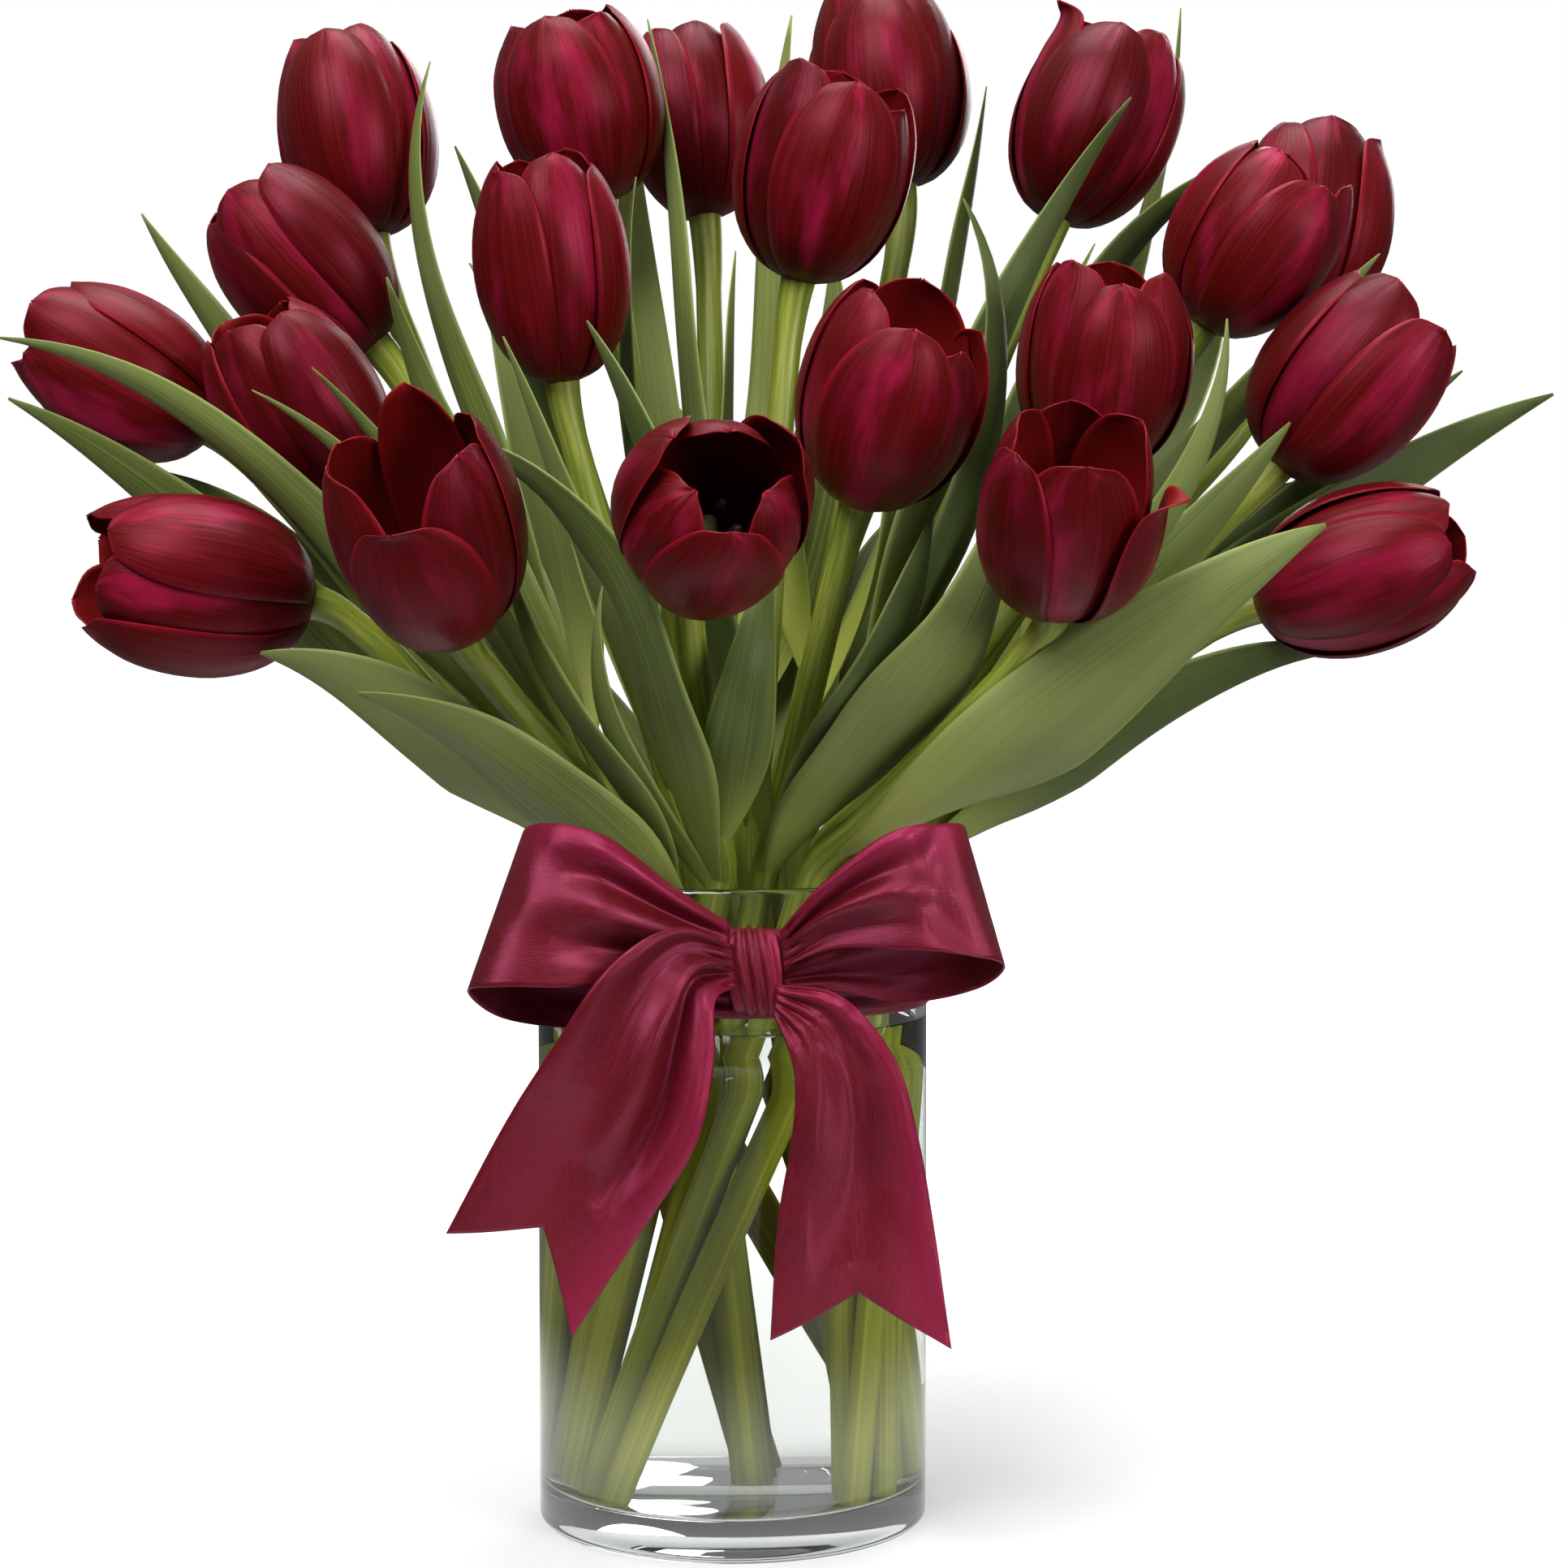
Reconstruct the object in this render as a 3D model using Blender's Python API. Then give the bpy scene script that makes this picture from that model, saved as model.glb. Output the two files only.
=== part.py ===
# Twenty tulips in a glass cylinder vase, with a ribbon bow
# Metres, +Z up, front towards -Y. The origin is the middle of the vase's flat underside.

import math

import bmesh
import bpy
import numpy as np
from mathutils import Matrix, Vector

MM = 0.001
GAP = 0.3 * MM
MERGE_DISTANCE = 0.001 * MM
FLAT_ANGLE = math.radians(0.2)

# Edges sharper than these (degrees) stay sharp when shaded
TURNED_SHADING = 30
LEAF_SHADING = 35
KNOT_SHADING = 40
PETAL_SHADING = 40
RIBBON_SHADING = 50

# Vase and water
VASE_HEIGHT = 183 * MM
VASE_RADIUS = 55 * MM
VASE_WALL = 3 * MM
VASE_FLOOR = 11 * MM
VASE_RIM_EDGE = 1.2 * MM
VASE_FOOT_EDGE = 2.5 * MM
VASE_SIDES = 32
WATER_TOP = 142 * MM
STEM_HOLE_CLEARANCE = 0.4 * MM
HOLE_REACH = 1.2

# Stems
STEM_RADIUS = 4 * MM
STEM_SIDES = 6
STEM_RINGS = 6
STEM_SPACING = 11.9 * MM
STEM_BLOOM_CLEARANCE = 2 * MM
STEM_SWEEP = 0.8
STEM_ROUNDS = 500
STEM_PUSH = 0.3
BLOOM_PUSH = 0.4
STEM_SMOOTHING = 0.2
MOUTH_SPACING = 15 * MM
MOUTH_LIMIT = 42 * MM
MOUTH_GATHER = 0.27
MOUTH_ROUNDS = 400
MOUTH_PUSH = 0.25
RIM_LEAN_SHARE = 0.84
RIM_LEAN_TURN = math.radians(-70)
FOOT_SPACING = 9.8 * MM
FOOT_LIMIT = 43.5 * MM
FOOT_LEVELS = np.linspace(0, 0.9, 7)
FOOT_ROUNDS = 800
FOOT_PULL = 0.05
FOOT_PUSH = 0.3
# Spheres that stand for a bloom: their places along it and their radii as shares of its own
BULB_PLACES = (0.1, 0.3, 0.5, 0.7, 0.9)
BULB_SWELL = (0.75, 1.05, 1.1, 1.1, 0.9)

# Blooms
PETAL_THICKNESS = 0.9 * MM
PETAL_STATIONS = (0.2, 0.6, 1.0)
OUTER_PETAL_COLUMNS = (-1.0, -0.36, 0.36, 1.0)
INNER_PETAL_COLUMNS = (-1.0, 0.0, 1.0)
PETAL_ROOT_SHARE = 0.15
PETAL_ROOT_OPENING = 0.6
PETALS = 6
OUTER_ROOT_APEX = -1.8 * MM
INNER_ROOT_APEX = 0.3 * MM
INNER_PETAL_INSET = 3.2 * MM
INNER_PETAL_WIDTH = 0.87
OUTER_PETAL_WIDTH = 0.92
OUTER_PETAL_LENGTH = 0.97
TIP_ROUNDING = 0.03
PETAL_LIFT = 1 * MM
SEAT_BOTTOM = -1.5 * MM
SEAT_TOP = 3.2 * MM
SEAT_BOTTOM_RADIUS = 5 * MM
SEAT_TOP_RADIUS = 9 * MM
SEAT_SIDES = 8

# Bunches that the feet stand in: how far right (mm), nearest and farthest place (mm), and their tulips
FOOT_BUNCHES = (
    (-32, (-30, 26), (10, 11, 13, 14, 15, 18, 19, 20)),
    (4, (6, 38), (2, 9, 12)),
    (33, (-30, 30), (1, 3, 4, 5, 6, 7, 8, 16, 17)),
)

# Leaves
LEAF_THICKNESS = 0.9 * MM
LEAF_STATIONS = (0.0, 0.17, 0.36, 0.58, 0.8, 1.0)
LEAF_ROOT_SHARE = 0.12
LEAF_SLANT = 0.5
LEAF_LEAD = 0.3
LEAF_WIDEST = 0.36
LEAF_TAPER = 1.9
LEAF_LEAST_WIDTH = 0.04
LEAF_FACE_RISE = 0.6
LEAF_TURNED_BY = 0.45
LEAF_FOLD_AT_ROOT = 0.42
LEAF_FOLD_AT_TIP = 0.17
LEAF_LOWEST_ROOT = WATER_TOP + 12 * MM

# Ribbon
RIBBON_THICKNESS = 0.9 * MM
BAND_BOTTOM = 148 * MM
BAND_TOP = 172 * MM
BAND_THICKNESS = 1.3 * MM

# Colours as linear values with a roughness
PETAL_FINISH = ((0.15, 0.004, 0.015), 0.45)
LEAF_FINISH = ((0.10, 0.16, 0.045), 0.5)
RIBBON_FINISH = ((0.20, 0.008, 0.035), 0.35)
GLASS_FINISH = ((0.95, 0.97, 0.97), 0.03)
WATER_FINISH = ((0.93, 0.96, 0.93), 0.02)

# Each tulip: base of the bloom, its tip, its radius (mm), how open it is (0 to 1) and its turn (degrees)
TULIPS = {
    "tulip_01": ((-108, 60, 370), (-119, 66, 429), 24, 0.10, 20),
    "tulip_02": ((-40, 52, 379), (-52, 44, 432), 25, 0.15, 75),
    "tulip_03": ((-10, 98, 380), (-16, 106, 438), 23, 0.10, 10),
    "tulip_04": ((50, 85, 388), (43, 94, 447), 25, 0.15, 45),
    "tulip_05": ((19, 28, 354), (33, 21, 411), 25, 0.35, 95),
    "tulip_06": ((95, 50, 374), (118, 57, 430), 24, 0.20, 30),
    "tulip_07": ((172, 74, 347), (178, 88, 402), 24, 0.20, 60),
    "tulip_08": ((135, 20, 340), (163, 10, 384), 24, 0.20, 100),
    "tulip_09": ((-104, 26, 335), (-143, 22, 378), 23, 0.15, 50),
    "tulip_10": ((-104, -12, 289), (-132, -22, 339), 23, 0.15, 15),
    "tulip_11": ((-148, 5, 309), (-197, 0, 339), 22, 0.15, 80),
    "tulip_12": ((-48, 0, 323), (-54, -8, 384), 22, 0.20, 35),
    "tulip_13": ((35, -35, 288), (51, -56, 341), 25, 0.35, 110),
    "tulip_14": ((-72, -58, 253), (-84, -90, 300), 25, 0.50, 45),
    "tulip_15": ((-10, -66, 270), (2, -112, 293), 25, 0.30, 25),
    "tulip_16": ((100, -14, 297), (106, -26, 352), 24, 0.25, 5),
    "tulip_17": ((154, -2, 299), (191, -8, 342), 25, 0.25, 90),
    "tulip_18": ((86, -60, 259), (90, -90, 303), 23, 0.50, 85),
    "tulip_19": ((-116, -28, 260), (-175, -43, 270), 25, 0.15, 40),
    "tulip_20": ((147, -15, 259), (201, -28, 277), 23, 0.10, 65),
}

# Each leaf: its stem, the height of its root, a point halfway, its tip, its width (mm),
# and the turn of its blade about its midrib (degrees, 0 faces the vase's axis)
LEAVES = (
    ("tulip_15", 178, (-26, -64, 253), (-76, -38, 304), 27, 0),
    ("tulip_18", 188, (103, -61, 242), (158, -57, 280), 33, 60),
    ("tulip_13", 180, (60, -52, 247), (76, -38, 293), 32, 30),
    ("tulip_19", 180, (-78, -38, 222), (-126, -46, 246), 27, -60),
    ("tulip_12", 190, (-59, 22, 332), (-81, 36, 392), 24, -60),
    ("tulip_05", 205, (-16, 40, 336), (-26, 62, 433), 23, -80),
    ("tulip_05", 190, (0, -10, 310), (1, 0, 358), 20, 0),
    ("tulip_16", 195, (76, 8, 331), (65, 2, 373), 20, 40),
    ("tulip_06", 215, (85, 28, 356), (114, 22, 404), 19, 50),
    ("tulip_13", 188, (-22, -40, 299), (-39, -30, 336), 20, 0),
    ("tulip_04", 235, (17, 52, 336), (28, 66, 402), 20, 60),
    ("tulip_20", 223, (185, 14, 292), (234, 14, 319), 22, 60),
    ("tulip_16", 200, (129, -25, 280), (154, -20, 309), 22, 60),
    ("tulip_08", 235, (113, 42, 360), (154, 46, 392), 18, 60),
    ("tulip_17", 227, (149, 10, 321), (188, 36, 361), 14, 60),
    ("tulip_17", 215, (182, 28, 303), (212, 34, 327), 18, 60),
    ("tulip_18", 200, (122, -43, 292), (134, -38, 336), 12, 60),
    ("tulip_19", 195, (-165, -10, 294), (-200, -15, 316), 21, -60),
    ("tulip_10", 200, (-153, -44, 316), (-195, -50, 330), 14, -60),
    ("tulip_11", 235, (-149, 28, 338), (-173, 40, 373), 18, -60),
    ("tulip_09", 225, (-90, 42, 353), (-89, 45, 418), 18, -60),
    ("tulip_14", 180, (-45, -52, 232), (-60, -34, 282), 20, 0),
    ("tulip_15", 190, (4, -57, 228), (11, -38, 272), 19, 0),
    ("tulip_04", 220, (69, 70, 368), (76, 80, 416), 24, 60),
    ("tulip_03", 240, (13, 110, 397), (17, 112, 443), 17, 30),
    ("tulip_07", 235, (129, 82, 386), (135, 82, 440), 17, 60),
    ("tulip_02", 235, (-32, 78, 383), (-35, 76, 435), 14, 0),
    ("tulip_03", 185, (-14, 86, 280), (-30, 142, 330), 27, 0),
    ("tulip_04", 180, (42, 82, 260), (72, 134, 305), 28, 10),
    ("tulip_07", 190, (120, 76, 268), (176, 118, 300), 26, 15),
    ("tulip_01", 190, (-84, 72, 268), (-146, 108, 312), 27, -15),
    ("tulip_02", 200, (-52, 74, 300), (-84, 112, 366), 22, -10),
    ("tulip_06", 200, (82, 76, 310), (112, 112, 372), 22, 20),
    ("tulip_09", 180, (-110, 33, 260), (-176, 45, 284), 25, -20),
    ("tulip_08", 190, (120, 29, 268), (190, 45, 296), 24, 20),
    ("tulip_03", 180, (-2, 78, 228), (6, 112, 246), 24, 0),
    ("tulip_01", 180, (-64, 56, 232), (-106, 75, 262), 24, 0),
    ("tulip_08", 180, (58, 74, 224), (91, 108, 246), 24, 0),
    ("tulip_12", 200, (-42, -22, 275), (-62, -28, 332), 20, 0),
    ("tulip_11", 190, (-118, 10, 262), (-176, 20, 298), 22, -50),
    ("tulip_14", 174, (-56, -55, 214), (-96, -78, 236), 24, -40),
    ("tulip_20", 184, (112, -16, 226), (172, -8, 246), 24, 50),
    ("tulip_15", 174, (-31, -45, 222), (-35, -30, 264), 12, 0),
    ("tulip_13", 184, (37, -46, 234), (55, -38, 284), 20, 20),
    ("tulip_02", 210, (-32, 28, 320), (-28, 26, 382), 21, -50),
    ("tulip_16", 205, (84, 4, 288), (92, 11, 350), 20, 50),
    ("tulip_09", 200, (-78, 9, 296), (-96, -7, 350), 17, -50),
    ("tulip_03", 210, (25, 98, 300), (30, 127, 372), 22, 0),
    ("tulip_01", 210, (-62, 88, 300), (-80, 122, 362), 22, 0),
    ("tulip_07", 210, (140, 98, 320), (152, 130, 380), 20, 0),
    ("tulip_02", 176, (-38, 60, 228), (-68, 85, 254), 14, 0),
    ("tulip_04", 192, (21, 67, 240), (27, 108, 276), 24, 0),
)


def clear_scene():
    for item in list(bpy.data.objects):
        bpy.data.objects.remove(item, do_unlink=True)


def finish_material(name, finish, transmission=0.0):
    colour, roughness = finish
    material = bpy.data.materials.new(name)
    material.use_nodes = True
    shader = material.node_tree.nodes["Principled BSDF"]
    shader.inputs["Base Color"].default_value = (*colour, 1.0)
    shader.inputs["Roughness"].default_value = roughness
    shader.inputs["Metallic"].default_value = 0.0
    shader.inputs["Transmission Weight"].default_value = transmission
    return material


def unit(vector):
    vector = np.asarray(vector, dtype=float)
    return vector / np.linalg.norm(vector)


def unit_rows(rows):
    return rows / np.linalg.norm(rows, axis=1)[:, None]


def outward(points, faces):
    """The faces turned to point out of the closed mesh."""
    volume = 0.0
    for face in faces:
        for b, c in zip(face[1:], face[2:]):
            volume += np.dot(points[face[0]], np.cross(points[b], points[c]))
    return faces if volume > 0 else [face[::-1] for face in faces]


def blade_mesh(front, back, flat_root=False):
    """A closed blade from two grids of points, split into triangles alike on both faces.

    With flat_root the first row of faces is planar and stays whole."""
    rows, columns, _ = front.shape
    points = np.concatenate([front.reshape(-1, 3), back.reshape(-1, 3)])
    behind = rows * columns
    faces = []

    def quad(a, b, c, d):
        faces.extend([(a, b, c), (a, c, d)])

    for i in range(rows - 1):
        for j in range(columns - 1):
            a = i * columns + j
            b, c, d = a + 1, a + columns + 1, a + columns
            if flat_root and i == 0:
                faces.extend([(a, b, c, d), (behind + a, behind + d, behind + c, behind + b)])
                continue
            quad(a, b, c, d)
            faces.extend([(behind + a, behind + c, behind + b), (behind + a, behind + d, behind + c)])
    rim = list(range(columns))
    rim += [i * columns + columns - 1 for i in range(1, rows)]
    rim += [(rows - 1) * columns + j for j in range(columns - 2, -1, -1)]
    rim += [i * columns for i in range(rows - 2, 0, -1)]
    for a, b in zip(rim, rim[1:] + rim[:1]):
        quad(b, a, behind + a, behind + b)
    return points, outward(points, faces)


def tube_mesh(centres, sides_a, sides_b, radii, count):
    """A closed tube of rings, each laid out on its own two directions."""
    angles = np.arange(count) * 2 * math.pi / count
    rings = [
        centre + radius * (np.cos(angles)[:, None] * a + np.sin(angles)[:, None] * b)
        for centre, a, b, radius in zip(centres, sides_a, sides_b, radii)
    ]
    points = np.concatenate(rings)
    faces = []
    for i in range(len(rings) - 1):
        for j in range(count):
            a, b = i * count + j, i * count + (j + 1) % count
            faces.extend([(a, b, b + count), (a, b + count, a + count)])
    last = (len(rings) - 1) * count
    for j in range(1, count - 1):
        faces.append((0, j + 1, j))
        faces.append((last, last + j, last + j + 1))
    return points, outward(points, faces)


def make_object(name, mesh_data, material=None):
    points, faces = mesh_data
    mesh = bpy.data.meshes.new(name)
    mesh.from_pydata([tuple(p) for p in points], [], faces)
    mesh.update()
    item = bpy.data.objects.new(name, mesh)
    bpy.context.collection.objects.link(item)
    if material:
        mesh.materials.append(material)
    return item


def shade(item, degrees):
    item.data.shade_smooth()
    item.data.set_sharp_from_angle(angle=math.radians(degrees))


def combine(item, others, operation):
    """Joins or cuts one object with a collection of others, which are then removed."""
    group = bpy.data.collections.new(item.name + "_group")
    bpy.context.scene.collection.children.link(group)
    for other in others:
        bpy.context.collection.objects.unlink(other)
        group.objects.link(other)
    modifier = item.modifiers.new("combine", "BOOLEAN")
    modifier.operation = operation
    modifier.operand_type = "COLLECTION"
    modifier.collection = group
    modifier.solver = "EXACT"
    whole = bpy.data.meshes.new_from_object(item.evaluated_get(bpy.context.evaluated_depsgraph_get()))
    item.modifiers.clear()
    spare = item.data
    item.data = whole
    whole.name = item.name
    bpy.data.meshes.remove(spare)
    for other in list(group.objects):
        spare = other.data
        bpy.data.objects.remove(other)
        bpy.data.meshes.remove(spare)
    bpy.data.collections.remove(group)


def keep_main_shell(item):
    """Fills hollows that fusing sealed and drops loose scraps, by keeping the largest closed shell."""
    shape = bmesh.new()
    shape.from_mesh(item.data)
    unseen = set(shape.verts)
    shells = []
    while unseen:
        waiting = [unseen.pop()]
        shell = []
        while waiting:
            corner = waiting.pop()
            shell.append(corner)
            near = {edge.other_vert(corner) for edge in corner.link_edges} & unseen
            unseen -= near
            waiting.extend(near)
        shells.append(shell)
    shells.sort(key=len)
    for shell in shells[:-1]:
        bmesh.ops.delete(shape, geom=shell, context="VERTS")
    shape.to_mesh(item.data)
    shape.free()


def turned(name, profile, sides, material):
    """A solid turned round the Z axis from a closed or axis-to-axis profile of (radius, height)."""
    shape = bmesh.new()
    corners = [shape.verts.new((radius, 0.0, height)) for radius, height in profile]
    edges = [shape.edges.new(pair) for pair in zip(corners, corners[1:])]
    if profile[0][0] > 0:
        edges.append(shape.edges.new((corners[-1], corners[0])))
    bmesh.ops.spin(
        shape, geom=corners + edges, cent=(0, 0, 0), axis=(0, 0, 1), angle=2 * math.pi,
        steps=sides, use_merge=True,
    )
    bmesh.ops.remove_doubles(shape, verts=shape.verts, dist=MERGE_DISTANCE)
    bmesh.ops.dissolve_limit(shape, angle_limit=FLAT_ANGLE, verts=shape.verts, edges=shape.edges)
    bmesh.ops.recalc_face_normals(shape, faces=shape.faces)
    mesh = bpy.data.meshes.new(name)
    shape.to_mesh(mesh)
    shape.free()
    item = bpy.data.objects.new(name, mesh)
    bpy.context.collection.objects.link(item)
    mesh.materials.append(material)
    shade(item, TURNED_SHADING)
    return item


# Vase: a drawn glass cylinder with a thick floor and a melted round rim
def make_vase(material):
    inner = VASE_RADIUS - VASE_WALL
    profile = [
        (0, 0),
        (VASE_RADIUS - VASE_FOOT_EDGE, 0),
        (VASE_RADIUS, VASE_FOOT_EDGE),
        (VASE_RADIUS, VASE_HEIGHT - VASE_RIM_EDGE),
        (VASE_RADIUS - VASE_RIM_EDGE, VASE_HEIGHT),
        (inner + VASE_RIM_EDGE, VASE_HEIGHT),
        (inner, VASE_HEIGHT - VASE_RIM_EDGE),
        (inner, VASE_FLOOR + VASE_FOOT_EDGE),
        (inner - VASE_FOOT_EDGE, VASE_FLOOR),
        (0, VASE_FLOOR),
    ]
    turned("vase", profile, VASE_SIDES, material)


# Water: fills the vase, with a plain hole for each stem
def make_water(material, routes):
    inner = VASE_RADIUS - VASE_WALL - GAP
    bottom = VASE_FLOOR + GAP
    profile = [
        (0, bottom),
        (inner - VASE_FOOT_EDGE, bottom),
        (inner, bottom + VASE_FOOT_EDGE),
        (inner, WATER_TOP),
        (0, WATER_TOP),
    ]
    water = turned("water", profile, VASE_SIDES, material)
    combine(water, [stem_hole(name, route) for name, route in routes.items()], "DIFFERENCE")


def stem_hole(name, route):
    """A prism round the straight lower stem, with its corners on the stem's own."""
    direction = unit(route[1] - route[0])
    corner = stem_sides(route)[0][0]
    middle = (route[0] + route[1]) / 2
    frame = Matrix.Identity(4)
    for column, axis in enumerate((np.cross(corner, direction), corner, direction, middle)):
        frame.col[column][:3] = tuple(axis)
    radius = STEM_RADIUS + STEM_HOLE_CLEARANCE
    shape = bmesh.new()
    bmesh.ops.create_cone(
        shape, cap_ends=True, segments=STEM_SIDES, radius1=radius, radius2=radius,
        depth=HOLE_REACH * np.linalg.norm(route[1] - route[0]), matrix=frame,
    )
    mesh = bpy.data.meshes.new("hole_" + name)
    shape.to_mesh(mesh)
    shape.free()
    item = bpy.data.objects.new("hole_" + name, mesh)
    bpy.context.collection.objects.link(item)
    return item


# Stems: they stand in bunches on the vase's floor, cross in a spiral and fan out above the rim
def push_off(points, owners, others, other_owners, clear):
    """How far to move each point so that it keeps clear of what others own."""
    apart = points[:, None] - others[None, :]
    distance = np.linalg.norm(apart, axis=2) + 1e-9
    push = np.clip(clear - distance, 0, None)
    push[owners[:, None] == other_owners[None, :]] = 0
    return (apart / distance[..., None] * push[..., None]).sum(axis=1)


def mouth_points(heads):
    """Where the stems pass the rim: the heads' plan drawn in, then spread to an even spacing."""
    points = heads[:, :2] * MOUTH_GATHER
    owners = np.arange(len(points))
    for _ in range(MOUTH_ROUNDS):
        points = points + MOUTH_PUSH * push_off(points, owners, points, owners, MOUTH_SPACING)
        radius = np.linalg.norm(points, axis=1)
        points = points * np.minimum(1, MOUTH_LIMIT / np.maximum(radius, MM))[:, None]
    return points


def foot_points(mouth, start):
    """Where the stems stand: drawn together in bunches, with room between them all the way up."""
    right, near, far = np.zeros((3, len(mouth)))
    for place, reach, numbers in FOOT_BUNCHES:
        members = np.array(numbers) - 1
        right[members] = place * MM
        near[members], far[members] = np.array(reach) * MM
    owners = np.arange(len(mouth))
    feet = start
    for step in range(FOOT_ROUNDS):
        pull = FOOT_PULL * (1 - step / FOOT_ROUNDS)
        goal = np.column_stack([right, np.clip(feet[:, 1], near, far)])
        feet = feet + pull * (goal - feet)
        for s in FOOT_LEVELS:
            points = (1 - s) * feet + s * mouth
            feet = feet + FOOT_PUSH * (1 - s) * push_off(points, owners, points, owners, FOOT_SPACING)
        radius = np.linalg.norm(feet, axis=1)
        feet = feet * np.minimum(1, FOOT_LIMIT / np.maximum(radius, MM))[:, None]
    return feet


def bloom_bulbs(bases, tips):
    """Spheres that fill each bloom, with their radii and the number of their tulip."""
    along = np.array(BULB_PLACES)
    widest = np.array([tulip[2] for tulip in TULIPS.values()]) * MM
    centres = bases[:, None] + along[None, :, None] * (tips - bases)[:, None]
    radii = widest[:, None] * np.array(BULB_SWELL)
    return centres.reshape(-1, 3), radii.reshape(-1), np.repeat(np.arange(len(bases)), len(along))


def stem_routes():
    """Points of each stem from its foot to the bloom's seat, kept clear of each other and the blooms."""
    bases = np.array([tulip[0] for tulip in TULIPS.values()]) * MM
    tips = np.array([tulip[1] for tulip in TULIPS.values()]) * MM
    axes = unit_rows(tips - bases)
    heads = bases + (SEAT_BOTTOM - GAP) * axes
    mouth = mouth_points(heads)
    cosine, sine = math.cos(RIM_LEAN_TURN), math.sin(RIM_LEAN_TURN)
    spiral = mouth @ np.array([[cosine, sine], [-sine, cosine]]) * RIM_LEAN_SHARE
    feet = np.column_stack([foot_points(mouth, spiral), np.full(len(bases), VASE_FLOOR + GAP)])
    rims = np.column_stack([mouth, np.full(len(bases), VASE_HEIGHT)])
    leans = rims - np.column_stack([spiral, feet[:, 2]])

    count = 2 * STEM_RINGS - 1
    s = np.linspace(0, 1, count)[None, :, None]
    reach = STEM_SWEEP * np.linalg.norm(heads - rims, axis=1)[:, None, None]
    paths = (
        (2 * s**3 - 3 * s**2 + 1) * rims[:, None]
        + (s**3 - 2 * s**2 + s) * unit_rows(leans)[:, None] * reach
        + (3 * s**2 - 2 * s**3) * heads[:, None]
        + (s**3 - s**2) * axes[:, None] * reach
    )
    bulbs, bulb_radii, bulb_owners = bloom_bulbs(bases, tips)
    bulb_clear = bulb_radii[None] + STEM_RADIUS + STEM_BLOOM_CLEARANCE
    owners = np.repeat(np.arange(len(bases)), count)
    free = slice(1, count - 2)
    for _ in range(STEM_ROUNDS):
        flat = paths.reshape(-1, 3)
        move = STEM_PUSH * push_off(flat, owners, flat, owners, STEM_SPACING)
        move += BLOOM_PUSH * push_off(flat, owners, bulbs, bulb_owners, bulb_clear)
        smooth = (paths[:, :-2] + paths[:, 2:]) / 2 - paths[:, 1:-1]
        paths[:, free] += move.reshape(paths.shape)[:, free] + STEM_SMOOTHING * smooth[:, : count - 3]
    rings = paths[:, ::2]
    return {name: np.concatenate([feet[k : k + 1], rings[k]]) for k, name in enumerate(TULIPS)}


def stem_sides(route):
    """Two directions across the stem at each of its points, carried along without twist."""
    tangents = [unit(route[1] - route[0])]
    for k in range(1, len(route) - 1):
        tangents.append(unit(unit(route[k] - route[k - 1]) + unit(route[k + 1] - route[k])))
    tangents.append(unit(route[-1] - route[-2]))
    tangents[1] = tangents[0]
    a = unit(np.cross(tangents[0], (0.0, 1.0, 0.0)))
    sides_a, sides_b = [], []
    for tangent in tangents:
        a = unit(a - tangent * np.dot(a, tangent))
        sides_a.append(a)
        sides_b.append(np.cross(tangent, a))
    return sides_a, sides_b


def stem_mesh(name, route):
    sides_a, sides_b = stem_sides(route)
    axis = unit(np.array(TULIPS[name][1]) - np.array(TULIPS[name][0]))
    sides_a[-1] = unit(sides_a[-1] - axis * np.dot(sides_a[-1], axis))
    sides_b[-1] = np.cross(axis, sides_a[-1])
    points, faces = tube_mesh(route, sides_a, sides_b, [STEM_RADIUS] * len(route), STEM_SIDES)
    along = unit(route[1] - route[0])
    for k in range(STEM_SIDES):
        lift = (route[0][2] - points[k][2]) / along[2]
        points[k] += along * lift
    return points, faces


# Leaves: long channelled blades, each rooted in its stem
def leaf_rows(root, tangent, middle, tip):
    """Points of the midrib: a cubic that leaves the stem at a slant and passes the middle point."""
    out = middle - root
    out = unit(out - tangent * np.dot(out, tangent))
    below, above = np.linalg.norm(middle - root), np.linalg.norm(tip - middle)
    lead = root + unit(tangent + LEAF_SLANT * out) * LEAF_LEAD * (below + above)
    m = below / (below + above)
    bend = (middle - (1 - m) ** 3 * root - 3 * (1 - m) ** 2 * m * lead - m**3 * tip) / (3 * (1 - m) * m**2)
    s = np.array(LEAF_STATIONS)[:, None]
    return (1 - s) ** 3 * root + 3 * (1 - s) ** 2 * s * lead + 3 * (1 - s) * s**2 * bend + s**3 * tip


def leaf_width(s, width):
    """Full width along the leaf: narrow at the root, widest at a third, drawn to a point."""
    rise = min(1.0, s / LEAF_WIDEST)
    fall = max(0.0, (s - LEAF_WIDEST) / (1 - LEAF_WIDEST))
    return width * (math.sin(rise * math.pi / 2) * (1 - fall**LEAF_TAPER) + LEAF_LEAST_WIDTH)


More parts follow.
